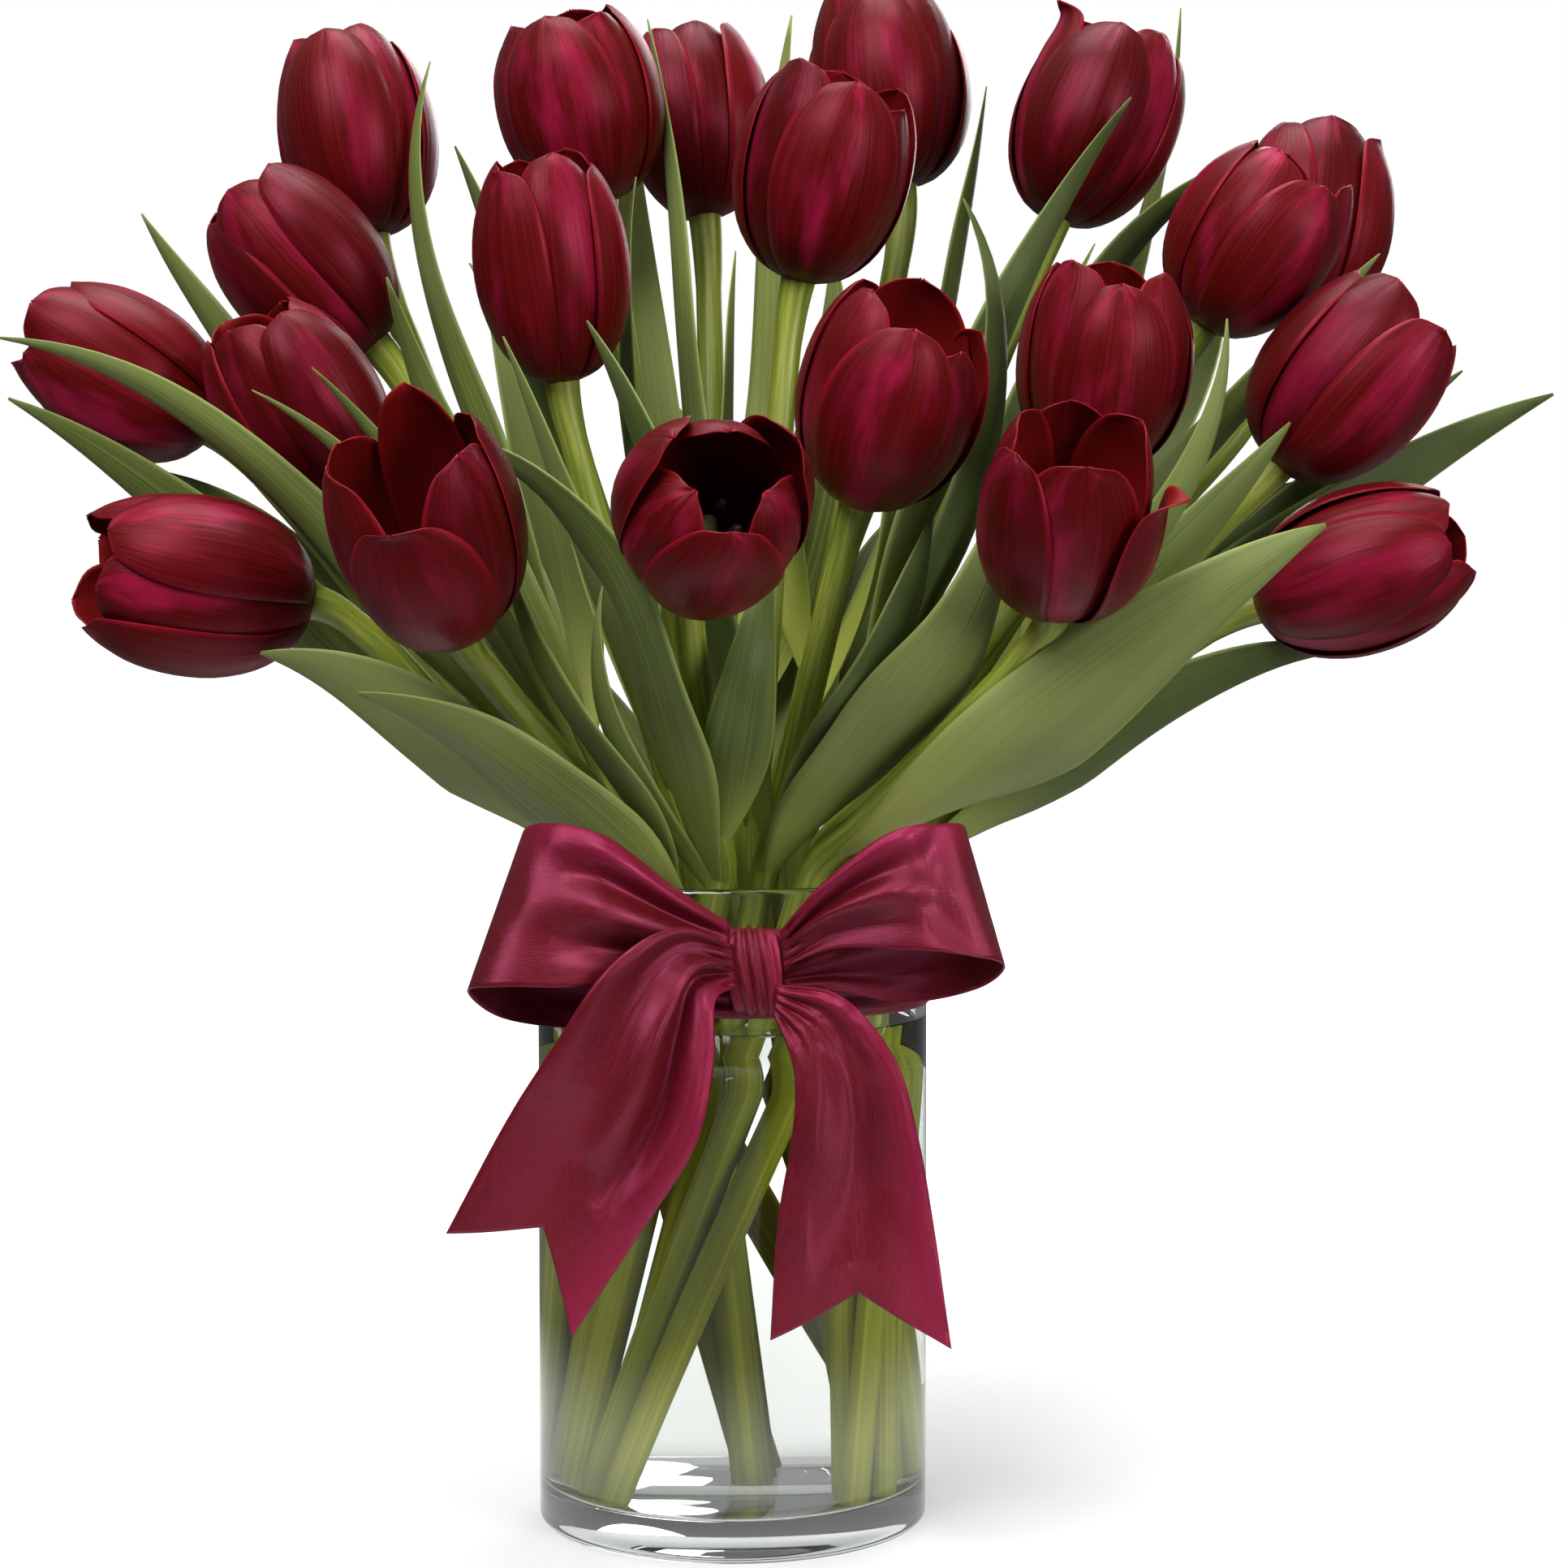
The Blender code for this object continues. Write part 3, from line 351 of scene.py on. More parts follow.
def foot_points(mouth, feet):
    """Where the stems stand: drawn together in bunches, with room between them all the way up."""
    right, near, far = np.zeros((3, len(mouth)))
    for place, reach, numbers in FOOT_BUNCHES:
        members = np.array(numbers) - 1
        right[members] = place * MM
        near[members], far[members] = np.array(reach) * MM
    owners = np.arange(len(mouth))
    for step in range(FOOT_ROUNDS):
        pull = FOOT_PULL * (1 - step / FOOT_ROUNDS)
        goal = np.column_stack([right, np.clip(feet[:, 1], near, far)])
        feet = feet + pull * (goal - feet)
        for s in FOOT_LEVELS:
            points = (1 - s) * feet + s * mouth
            feet = feet + FOOT_PUSH * (1 - s) * push_off(points, owners, points, owners, FOOT_SPACING)
        feet = held_in(feet, FOOT_LIMIT)
    return feet


def curve(s, start, leaving, end, arriving, reach):
    """The smooth curve between two places that leaves and arrives along two directions."""
    return (
        (2 * s**3 - 3 * s**2 + 1) * start
        + (s**3 - 2 * s**2 + s) * leaving * reach
        + (3 * s**2 - 2 * s**3) * end
        + (s**3 - s**2) * arriving * reach
    )


def stem_routes():
    """Points of each stem from its foot to the bloom, the same as those of its solid."""
    bases, tips, widest = (np.array(column) * MM for column in list(zip(*TULIPS))[:3])
    axes = unit(tips - bases)
    heads = bases - STEM_START_BELOW_BLOOM * axes
    mouth = mouth_points(heads)
    cosine, sine = math.cos(RIM_LEAN_TURN), math.sin(RIM_LEAN_TURN)
    spiral = mouth @ np.array([[cosine, sine], [-sine, cosine]]) * RIM_LEAN_SHARE
    feet = np.column_stack([foot_points(mouth, spiral), np.full(len(bases), VASE_FLOOR + GAP)])
    rims = np.column_stack([mouth, np.full(len(bases), VASE_HEIGHT)])
    leans = rims - np.column_stack([spiral, feet[:, 2]])

    count = 2 * STEM_RINGS - 1
    s = np.linspace(0, 1, count)[None, :, None]
    reach = STEM_SWEEP * np.linalg.norm(heads - rims, axis=1)[:, None, None]
    paths = curve(s, rims[:, None], unit(leans)[:, None], heads[:, None], axes[:, None], reach)
    bulbs = (bases[:, None] + BULB_PLACES[None, :, None] * (tips - bases)[:, None]).reshape(-1, 3)
    bulb_radii = (widest[:, None] * BULB_SWELL).reshape(-1)
    bulb_owners = np.repeat(np.arange(len(bases)), len(BULB_PLACES))
    bulb_clear = bulb_radii[None] + STEM_RADIUS + STEM_BLOOM_CLEARANCE
    owners = np.repeat(np.arange(len(bases)), count)
    free = slice(1, count - 2)
    for _ in range(STEM_ROUNDS):
        flat = paths.reshape(-1, 3)
        move = STEM_PUSH * push_off(flat, owners, flat, owners, STEM_SPACING)
        move += BLOOM_PUSH * push_off(flat, owners, bulbs, bulb_owners, bulb_clear)
        smooth = (paths[:, :-2] + paths[:, 2:]) / 2 - paths[:, 1:-1]
        paths[:, free] += move.reshape(paths.shape)[:, free] + STEM_SMOOTHING * smooth[:, : count - 3]
    return np.concatenate([feet[:, None], paths[:, ::2]], axis=1)


def stem_line(route, axis):
    """A smooth line through the route's points, straight inside the vase."""
    steps = unit(route[1:] - route[:-1])
    tangents = np.concatenate([steps[:1], unit(steps[:-1] + steps[1:]), axis[None]])
    tangents[1] = steps[0]
    line = []
    for a, b, leaving, arriving in zip(route, route[1:], tangents, tangents[1:]):
        length = np.linalg.norm(b - a)
        line += [curve(s, a, leaving, b, arriving, length) for s in np.arange(STEM_STEPS) / STEM_STEPS]
    return np.array(line + [route[-1], route[-1] + axis * STEM_INTO_BLOOM])


def grid_faces(rows, columns, closed_rows=False, closed_columns=False):
    """Quads of a grid of points, as rows of indices."""
    index = np.arange(rows * columns).reshape(rows, columns)
    right, up = np.roll(index, -1, axis=1), np.roll(index, -1, axis=0)
    quads = np.stack([index, right, np.roll(right, -1, axis=0), up], -1)
    return quads[: rows if closed_rows else -1, : columns if closed_columns else -1].reshape(-1, 4)


def tube(line, radii, sides, level_foot=False):
    """A round closed tube: its points, faces and how far along and around each point lies."""
    tangents = unit(np.gradient(line, axis=0))
    side = np.cross(tangents[0], (0.0, 1.0, 0.0))
    sides_a, sides_b = [], []
    for tangent in tangents:
        side = unit(side - tangent * np.dot(side, tangent))
        sides_a.append(side)
        sides_b.append(np.cross(tangent, side))
    angles = (np.arange(sides) * 2 * math.pi / sides)[None, :, None]
    ring = np.cos(angles) * np.array(sides_a)[:, None] + np.sin(angles) * np.array(sides_b)[:, None]
    points = line[:, None] + ring * np.asarray(radii).reshape(len(line), -1, 1)
    if level_foot:
        along = unit(line[1] - line[0])
        points[0] += along * ((line[0][2] - points[0][:, 2]) / along[2])[:, None]
    faces = [tuple(face) for face in grid_faces(len(line), sides, closed_columns=True)]
    faces += [tuple(range(sides))[::-1], tuple(range((len(line) - 1) * sides, len(line) * sides))]
    along = np.repeat(np.linspace(0, 1, len(line)), sides)
    around = np.tile(np.abs(np.linspace(-1, 1, sides)), len(line))
    return points.reshape(-1, 3), faces, {"along": along, "across": around}


def joined_mesh(name, parts, materials):
    """One mesh from several closed shells. Each part is (points, faces, marks, material number)."""
    points = np.concatenate([part[0] for part in parts])
    faces, numbers, start = [], [], 0
    for corners, part_faces, _, number in parts:
        faces += [tuple(int(v) + start for v in face) for face in part_faces]
        numbers += [number] * len(part_faces)
        start += len(corners)
    mesh = bpy.data.meshes.new(name)
    mesh.from_pydata([tuple(p) for p in points], [], faces)
    for mark in sorted({key for part in parts for key in part[2]}):
        values = np.concatenate([np.broadcast_to(part[2].get(mark, 0.0), len(part[0])) for part in parts])
        mesh.attributes.new(mark, "FLOAT", "POINT").data.foreach_set("value", values.astype(np.float32))
    for material in materials:
        mesh.materials.append(material)
    mesh.polygons.foreach_set("material_index", numbers)
    mesh.shade_smooth()
    mesh.update()
    return mesh


def fibre_group():
    """Fine lines that run along a petal, leaf, stem or ribbon: veins, ribs or threads."""
    group = bpy.data.node_groups.new("fibres", "ShaderNodeTree")
    for name, value in (("Across", 0.0), ("Along", 0.0), ("Count", 20.0), ("Runs", 2.0), ("Kind", 0.0)):
        group.interface.new_socket(name, in_out="INPUT", socket_type="NodeSocketFloat").default_value = value
    group.interface.new_socket("Lines", in_out="OUTPUT", socket_type="NodeSocketFloat")
    shading = Shading(group)
    given = group.nodes.new("NodeGroupInput").outputs
    across = shading.times(given["Across"], given["Count"])
    along = shading.times(given["Along"], given["Runs"])
    kind = shading.times(given["Kind"], 37.0)
    place = shading.add("CombineXYZ", {"X": across, "Y": along, "Z": kind})
    lines = shading.noise(1.0, 4.0, place.outputs["Vector"], 0.55)
    group.links.new(lines, group.nodes.new("NodeGroupOutput").inputs["Lines"])
    return group


fibres = fibre_group()


def fibre_lines(shading, count, runs):
    """The fibre group in a material, fed with the mesh's own marks."""
    inputs = {mark.capitalize(): shading.mark(mark) for mark in ("across", "along", "kind")}
    inputs |= {"Count": count, "Runs": runs}
    return shading.add("Group", inputs, node_tree=fibres).outputs["Lines"]


def solid_finish(material, shading, inputs):
    shader = shading.add("BsdfPrincipled", inputs)
    shading.add("OutputMaterial", {"Surface": shader.outputs[0]})
    return material


def stem_material():
    material, shading = new_material("tulip_stem")
    lines = fibre_lines(shading, 9.0, 5.0)
    patches = shading.noise(60.0, 3.0)
    skin = shading.layered(
        shading.ramp(lines, STEM_GREENS),
        (shading.spread(patches, 0.5, 0.8, 0.0, 0.45), STEM_PATCH),
        (shading.spread(shading.mark("along"), 0.0, 0.2, 0.35, 0.0), STEM_FOOT),
    )
    dry = shading.spread(shading.height(), WATER_TOP - 2 * MM, WATER_TOP)
    inputs = {
        "Base Color": shading.mix(dry, shading.mix(1.0, skin, STEM_IN_WATER, "MULTIPLY"), skin),
        "Roughness": shading.spread(patches, 0.3, 0.7, 0.34, 0.5),
        "Specular IOR Level": shading.times(dry, 0.45),
        "Normal": shading.bump(lines, 0.25 * MM, 0.5),
    }
    return solid_finish(material, shading, inputs)


stem_skin = stem_material()
routes = stem_routes()


# The leaves: long channelled blades that clasp the stem, widest at a third of their length and drawn to a
# point. The skin is matt and waxy with fine parallel veins, and the edge is thin and yellow-green.
LEAF_ROWS = 33
LEAF_COLUMNS = 11
LEAF_THICKNESS = (0.9 * MM, 0.3 * MM)
LEAF_TIP_THINNING = 0.5
LEAF_SLANT = 0.5
LEAF_LEAD = 0.3
LEAF_WIDEST = 0.36
LEAF_TAPER = 1.9
LEAF_LEAST_WIDTH = 0.04
LEAF_FACE_RISE = 0.6
LEAF_TURNED_BY = 0.45
LEAF_FOLD = (0.42, 0.17)
LEAF_FOLD_ROUNDNESS = 1.5
LEAF_WAVE = (0.02, 0.05)
LEAF_BEATS = (1.6, 2.8)
LEAF_LOWEST_ROOT = WATER_TOP + 12 * MM
LEAF_GREENS = ((0.25, (0.050, 0.068, 0.009)), (0.5, (0.140, 0.176, 0.024)), (0.78, (0.290, 0.340, 0.062)))
# The next two are laid on whole leaves picked at random: partly random tone, partly painted light and painted
# shade, so that some leaves look lit and others shaded
LEAF_PALE_PAINTED_LIGHT = (0.33, 0.37, 0.12)
LEAF_DARK_PAINTED_SHADE = (0.036, 0.055, 0.009)
LEAF_WAX = (0.22, 0.25, 0.10)
# The paler root of each leaf, made lighter still as painted light, for the roots stand deep in shade at the
# vase's mouth
LEAF_BASE_PALE_PAINTED_LIGHT = (0.62, 0.68, 0.13)
LEAF_EDGE = (0.34, 0.43, 0.11)
LEAF_UNDERSIDE = (0.08, 0.12, 0.04)
LEAF_SHEEN = (0.85, 0.95, 0.7, 1.0)

# Each leaf: its tulip, the height of its root, a point halfway, its tip, its width (mm), and the turn of its
# blade about its midrib (degrees, 0 faces the vase's axis). The last two are too small for the solids.
LEAVES = (
    (15, 178, (-26, -64, 253), (-76, -38, 304), 27, 0),
    (18, 188, (103, -61, 242), (158, -57, 280), 33, 60),
    (13, 180, (60, -52, 247), (76, -38, 293), 32, 30),
    (19, 180, (-78, -38, 222), (-126, -46, 246), 27, -60),
    (12, 190, (-59, 22, 332), (-81, 36, 392), 24, -60),
    (5, 205, (-16, 40, 336), (-26, 62, 433), 23, -80),
    (5, 190, (0, -10, 310), (1, 0, 358), 20, 0),
    (16, 195, (76, 8, 331), (65, 2, 373), 20, 40),
    (6, 215, (85, 28, 356), (114, 22, 404), 19, 50),
    (13, 188, (-22, -40, 299), (-39, -30, 336), 20, 0),
    (4, 235, (17, 52, 336), (28, 66, 402), 20, 60),
    (20, 223, (185, 14, 292), (234, 14, 319), 22, 60),
    (16, 200, (129, -25, 280), (154, -20, 309), 22, 60),
    (8, 235, (113, 42, 360), (154, 46, 392), 18, 60),
    (17, 227, (149, 10, 321), (188, 36, 361), 14, 60),
    (17, 215, (182, 28, 303), (212, 34, 327), 18, 60),
    (18, 200, (122, -43, 292), (134, -38, 336), 12, 60),
    (19, 195, (-165, -10, 294), (-200, -15, 316), 21, -60),
    (10, 200, (-153, -44, 316), (-195, -50, 330), 14, -60),
    (11, 235, (-149, 28, 338), (-173, 40, 373), 18, -60),
    (9, 225, (-90, 42, 353), (-89, 45, 418), 18, -60),
    (14, 180, (-45, -52, 232), (-60, -34, 282), 20, 0),
    (15, 190, (4, -57, 228), (11, -38, 272), 19, 0),
    (4, 220, (69, 70, 368), (76, 80, 416), 24, 60),
    (3, 240, (13, 110, 397), (17, 112, 443), 17, 30),
    (7, 235, (129, 82, 386), (135, 82, 440), 17, 60),
    (2, 235, (-32, 78, 383), (-35, 76, 435), 14, 0),
    (3, 185, (-14, 86, 280), (-30, 142, 330), 27, 0),
    (4, 180, (42, 82, 260), (72, 134, 305), 28, 10),
    (7, 190, (120, 76, 268), (176, 118, 300), 26, 15),
    (1, 190, (-84, 72, 268), (-146, 108, 312), 27, -15),
    (2, 200, (-52, 74, 300), (-84, 112, 366), 22, -10),
    (6, 200, (82, 76, 310), (112, 112, 372), 22, 20),
    (9, 180, (-110, 33, 260), (-176, 45, 284), 25, -20),
    (8, 190, (120, 29, 268), (190, 45, 296), 24, 20),
    (3, 180, (-2, 78, 228), (6, 112, 246), 24, 0),
    (1, 180, (-64, 56, 232), (-106, 75, 262), 24, 0),
    (8, 180, (58, 74, 224), (91, 108, 246), 24, 0),
    (12, 200, (-42, -22, 275), (-62, -28, 332), 20, 0),
    (11, 190, (-118, 10, 262), (-176, 20, 298), 22, -50),
    (14, 174, (-56, -55, 214), (-96, -78, 236), 24, -40),
    (20, 184, (112, -16, 226), (172, -8, 246), 24, 50),
    (15, 174, (-31, -45, 222), (-35, -30, 264), 12, 0),
    (13, 184, (37, -46, 234), (55, -38, 284), 20, 20),
    (2, 210, (-32, 28, 320), (-28, 26, 382), 21, -50),
    (16, 205, (84, 4, 288), (92, 11, 350), 20, 50),
    (9, 200, (-78, 9, 296), (-96, -7, 350), 17, -50),
    (3, 210, (25, 98, 300), (30, 127, 372), 22, 0),
    (1, 210, (-62, 88, 300), (-80, 122, 362), 22, 0),
    (7, 210, (140, 98, 320), (152, 130, 380), 20, 0),
    (2, 176, (-38, 60, 228), (-68, 85, 254), 14, 0),
    (4, 192, (21, 67, 240), (27, 108, 276), 24, 0),
    (14, 200, (-101, -40, 297), (-127, -51, 316), 8, -50),
    (14, 205, (-96, -42, 305), (-111, -51, 322), 8, -50),
)


def point_on(route, height):
    """The stem's centre and direction at a height above the table."""
    for low, high in zip(route[1:], route[2:]):
        if high[2] >= height:
            share = (height - low[2]) / (high[2] - low[2])
            return low + share * (high - low), unit(high - low)
    return route[-2], unit(route[-1] - route[-2])


def standing_off(surface):
    """The vectors that stand off a grid of points, not yet of unit length."""
    return np.cross(np.gradient(surface, axis=1), np.gradient(surface, axis=0))


def facing_out(points, quads):
    """The faces of a closed shell, turned to look outwards, as tuples."""
    a, b, c, d = (points[quads[:, k]] for k in range(4))
    volume = (a * (np.cross(b, c) + np.cross(c, d))).sum()
    return [tuple(quad) for quad in (quads[:, ::-1] if volume < 0 else quads)]


def skin_on(surface, thickness, marks):
    """A closed thin shell on both sides of a grid of points."""
    rows, columns, _ = surface.shape
    normals = standing_off(surface)
    normals = normals / np.maximum(np.linalg.norm(normals, axis=-1, keepdims=True), 1e-12)
    half = normals * thickness[..., None] / 2
    points = np.concatenate([(surface + half).reshape(-1, 3), (surface - half).reshape(-1, 3)])
    front = grid_faces(rows, columns)
    behind = rows * columns
    index = np.arange(behind).reshape(rows, columns)
    edge = np.concatenate([index[0], index[1:, -1], index[-1, -2::-1], index[-2:0:-1, 0]])
    after = np.roll(edge, -1)
    sides = np.column_stack([after, edge, behind + edge, behind + after])
    faces = facing_out(points, np.concatenate([front, front[:, ::-1] + behind, sides]))
    marks = {key: np.broadcast_to(value, (rows, columns)).reshape(-1) for key, value in marks.items()}
    marks = {key: np.tile(value, 2) for key, value in marks.items()}
    return points, faces, marks | {"inside": np.repeat([0.0, 1.0], behind)}


def leaf_shell(root, tangent, middle, tip, width, turn, luck):
    """One leaf about the midrib of its solid, with a soft wave along its edges."""
    out = middle - root
    out = unit(out - tangent * np.dot(out, tangent))
    below, above = np.linalg.norm(middle - root), np.linalg.norm(tip - middle)
    lead = root + unit(tangent + LEAF_SLANT * out) * LEAF_LEAD * (below + above)
    m = below / (below + above)
    bend = (middle - (1 - m) ** 3 * root - 3 * (1 - m) ** 2 * m * lead - m**3 * tip) / (3 * (1 - m) * m**2)
    s = np.linspace(0, 1, LEAF_ROWS)
    t = s[:, None]
    rib = (1 - t) ** 3 * root + 3 * (1 - t) ** 2 * t * lead + 3 * (1 - t) * t**2 * bend + t**3 * tip
    tangents = unit(np.gradient(rib, axis=0))
    inward = -np.array([tip[0], tip[1], 0.0]) / np.linalg.norm(tip[:2])
    across = np.cross(tangents[0], inward + np.array([0.0, 0.0, LEAF_FACE_RISE]))
    u = np.linspace(-1, 1, LEAF_COLUMNS)
    wave = luck.uniform(*LEAF_WAVE) * width
    beats = luck.uniform(*LEAF_BEATS)
    starts = luck.uniform(0, 2 * math.pi, 2)
    surface = []
    for k in range(LEAF_ROWS):
        across = unit(across - tangents[k] * np.dot(across, tangents[k]))
        face = np.cross(across, tangents[k])
        angle = math.radians(turn) * min(1.0, s[k] / LEAF_TURNED_BY)
        side = across * math.cos(angle) + face * math.sin(angle)
        face = face * math.cos(angle) - across * math.sin(angle)
        rise = min(1.0, s[k] / LEAF_WIDEST)
        fall = max(0.0, (s[k] - LEAF_WIDEST) / (1 - LEAF_WIDEST))
        half = width / 2 * (math.sin(rise * math.pi / 2) * (1 - fall**LEAF_TAPER) + LEAF_LEAST_WIDTH)
        lift = half * np.interp(s[k], (0, 1), LEAF_FOLD) * np.abs(u) ** LEAF_FOLD_ROUNDNESS
        start = np.where(u < 0, starts[0], starts[1])
        lift = lift + wave * math.sin(math.pi * s[k]) * u**2 * np.sin(2 * math.pi * beats * s[k] + start)
        surface.append(rib[k] + u[:, None] * half * side + lift[:, None] * face)
    marks = {"along": t, "across": u[None], "kind": luck.uniform(0, 1)}
    thickness = np.interp(u**2, (0, 1), LEAF_THICKNESS)
    return skin_on(np.array(surface), thickness[None] * (1 - LEAF_TIP_THINNING * t**4), marks)


def leaf_material():
    material, shading = new_material("tulip_leaf")
    kind = shading.mark("kind")
    side = shading.math("ABSOLUTE", shading.mark("across"))
    veins = fibre_lines(shading, 17.0, 1.3)
    patches = shading.noise(24.0, 4.0)
    green = shading.layered(
        shading.ramp(veins, LEAF_GREENS),
        # painted light on some leaves and painted shade on others, picked at random
        (shading.spread(kind, 0.55, 0.9, 0.0, 0.55), LEAF_PALE_PAINTED_LIGHT),
        (shading.spread(kind, 0.15, 0.6, 0.8, 0.0), LEAF_DARK_PAINTED_SHADE),
        (shading.spread(patches, 0.42, 0.75, 0.0, 0.35), LEAF_WAX),
        # the root of the leaf: its own paler green with painted light on it
        (shading.spread(shading.mark("along"), 0.0, 0.45, 0.8, 0.0), LEAF_BASE_PALE_PAINTED_LIGHT),
        (shading.spread(side, 0.86, 1.0, 0.0, 0.75), LEAF_EDGE),
        (shading.times(shading.mark("inside"), 0.35), LEAF_UNDERSIDE),
    )
    rib = shading.spread(side, 0.0, 0.07, 0.5, 0.0)
    inputs = {
        "Base Color": green,
        "Roughness": shading.spread(patches, 0.3, 0.75, 0.42, 0.6),
        "Specular IOR Level": 0.22,
        "Sheen Weight": 0.03,
        "Sheen Tint": LEAF_SHEEN,
        "Normal": shading.bump(shading.math("SUBTRACT", veins, rib), 0.22 * MM, 0.45),
    }
    return solid_finish(material, shading, inputs)


leaf_skin = leaf_material()
for number, (tulip, route) in enumerate(zip(TULIPS, routes), 1):
    luck = np.random.RandomState(STEM_SEED + number)
    base, tip = np.array(tulip[:2]) * MM
    line = stem_line(route, unit(tip - base))
    thick = np.interp(line[:, 2], [WATER_TOP, STEM_THIN_FROM], [STEM_THICK_LOW, STEM_RADIUS])
    thick[-STEM_FLARE_RINGS:] = np.linspace(STEM_RADIUS, STEM_FLARE, STEM_FLARE_RINGS)
    points, faces, marks = tube(line, thick, STEM_SIDES, level_foot=True)
    marks["kind"] = luck.uniform(0, 1)
    shells = [(points, faces, marks, 0)]
    for owner, height, middle, end, width, turn in LEAVES:
        if owner == number:
            root, tangent = point_on(route, max(LEAF_LOWEST_ROOT, height * MM))
            middle, end = np.array((middle, end)) * MM
            shells.append((*leaf_shell(root, tangent, middle, end, width * MM, turn, luck), 1))
    name = f"tulip_{number:02d}"
    show(joined_mesh(name + "_leafy", shells, [stem_skin, leaf_skin]), [name + "_stem"])


# The blooms: single tulips with three outer petals round three inner ones. A petal is a firm satin cup with
# a crease down its middle and fine veins, dark red with a painted magenta sheen, thinner at its edge and
# brighter there, partly in its own colour and partly by painted light. Its inner side is lighter, partly in
# its own colour and partly by painted light shining through, and painted shade darkens it deep in the cup.
PETAL_ROWS = 27
PETAL_COLUMNS = 17
PETAL_THICKNESS = (0.8 * MM, 0.25 * MM)
PETAL_SEED = 299
PETAL_LEAST_DISTANCE = 1.5 * MM
PETAL_LEAST_WIDTH = 0.02
PETAL_LOBE = 0.085
PETAL_EDGE_ROLL = 0.022
PETAL_FLARE = (-0.06, 0.10)
PETAL_ROLL = 0.04
PETAL_TWIST = 0.05
PETAL_RIBS = (4.0, 7.0)
PETAL_RIB_HEIGHT = 0.009
PETAL_WAVE = (0.008, 0.02)
PETAL_CREASE = 0.035
PETAL_CREASE_WIDTH = 0.1
PETAL_REDS = ((0.25, (0.060, 0.0023, 0.0021)), (0.5, (0.090, 0.0032, 0.0030)), (0.78, (0.13, 0.0045, 0.0045)))
PETAL_DARK = (0.036, 0.0014, 0.0012)
# Painted sheen: magenta laid in soft patches on the middle of the petals, standing for light that the satin
# catches
PETAL_PAINTED_SHEEN = (0.33, 0.009, 0.050)
# The thin edge and the tip: partly a lighter red of their own, partly painted light shining through the thin
# petal
PETAL_EDGE_RED_AND_PAINTED_LIGHT = (0.27, 0.006, 0.020)
PETAL_FOOT = (0.05, 0.004, 0.006)
# The inner side: partly its own lighter red-brown, partly painted light standing for light that shines
# through the petals
PETAL_INSIDE_AND_PAINTED_LIGHT = (0.19, 0.007, 0.006)
# Painted shade deep in the cup, on the inner side towards the foot
PETAL_DEPTH_PAINTED_SHADE = (0.012, 0.001, 0.002)
PETAL_GLOSS = (1.0, 0.20, 0.32, 1.0)
PETAL_SHEEN = (1.0, 0.25, 0.45, 1.0)

# For an outer and an inner petal: how far it stands in, and its width and the range of its length as shares
PETAL_INSET = (0.0, 2.6 * MM)
PETAL_WIDTH = (0.84, 0.93)
PETAL_LENGTH = ((0.91, 0.99), (0.97, 1.02))

# Sections of a petal from its root to its tip: distance from the bloom's axis when closed and when wide
# open and half width, as shares of the bloom's radius, and height as a share of its length
PETAL_CLOSED = (0.12, 0.50, 0.80, 0.97, 1.00, 0.92, 0.76, 0.62, 0.52)
PETAL_OPEN = (0.12, 0.50, 0.84, 1.03, 1.11, 1.15, 1.16, 1.17, 1.18)
PETAL_HALF_WIDTH = (0.08, 0.46, 0.76, 0.95, 0.98, 0.86, 0.62, 0.37, 0.03)
PETAL_HEIGHT = (-0.03, 0.03, 0.17, 0.36, 0.56, 0.75, 0.89, 0.965, 1.0)

# Petals that stand out of the round, by tulip and petal number: how far the tip leans out,
# and the petal's length and width as shares of the others'
ODD_PETALS = {
    (2, 5): (0.10, 0.93, 0.9),
    (4, 3): (0.12, 1.02, 0.8),
    (5, 3): (0.10, 0.90, 0.9),
    (6, 1): (0.40, 0.97, 0.62),
    (7, 2): (0.18, 1.00, 0.85),
    (8, 4): (0.10, 0.92, 1.0),
    (10, 3): (0.20, 1.00, 1.0),
    (12, 4): (0.12, 1.02, 0.8),
    (13, 3): (0.05, 0.84, 0.9),
    (13, 4): (0.02, 0.95, 0.8),
    (14, 1): (0.15, 1.06, 0.6),
    (14, 4): (0.20, 0.88, 1.0),
    (15, 1): (-0.22, 0.92, 1.0),
    (15, 3): (-0.26, 0.90, 1.0),
    (15, 5): (-0.20, 0.95, 1.0),
    (17, 2): (0.15, 1.00, 0.8),
    (18, 4): (0.50, 0.88, 0.8),
    (19, 2): (0.22, 1.00, 0.9),
    (19, 5): (0.12, 0.95, 0.9),
}


def smooth_line(points, count):
    """A smooth curve through given points, sampled evenly in its own parameter."""
    points = np.array(points, dtype=float).reshape(len(points), -1)
    padded = np.concatenate([[2 * points[0] - points[1]], points, [2 * points[-1] - points[-2]]])
    line = []
    for step in np.linspace(0, len(points) - 1, count):
        k = min(int(step), len(points) - 2)
        s = step - k
        a, b, c, d = padded[k : k + 4]
        line.append(
            0.5 * (2 * b + (c - a) * s + (2 * a - 5 * b + 4 * c - d) * s**2 + (3 * b - a - 3 * c + d) * s**3)
        )
    return np.array(line)


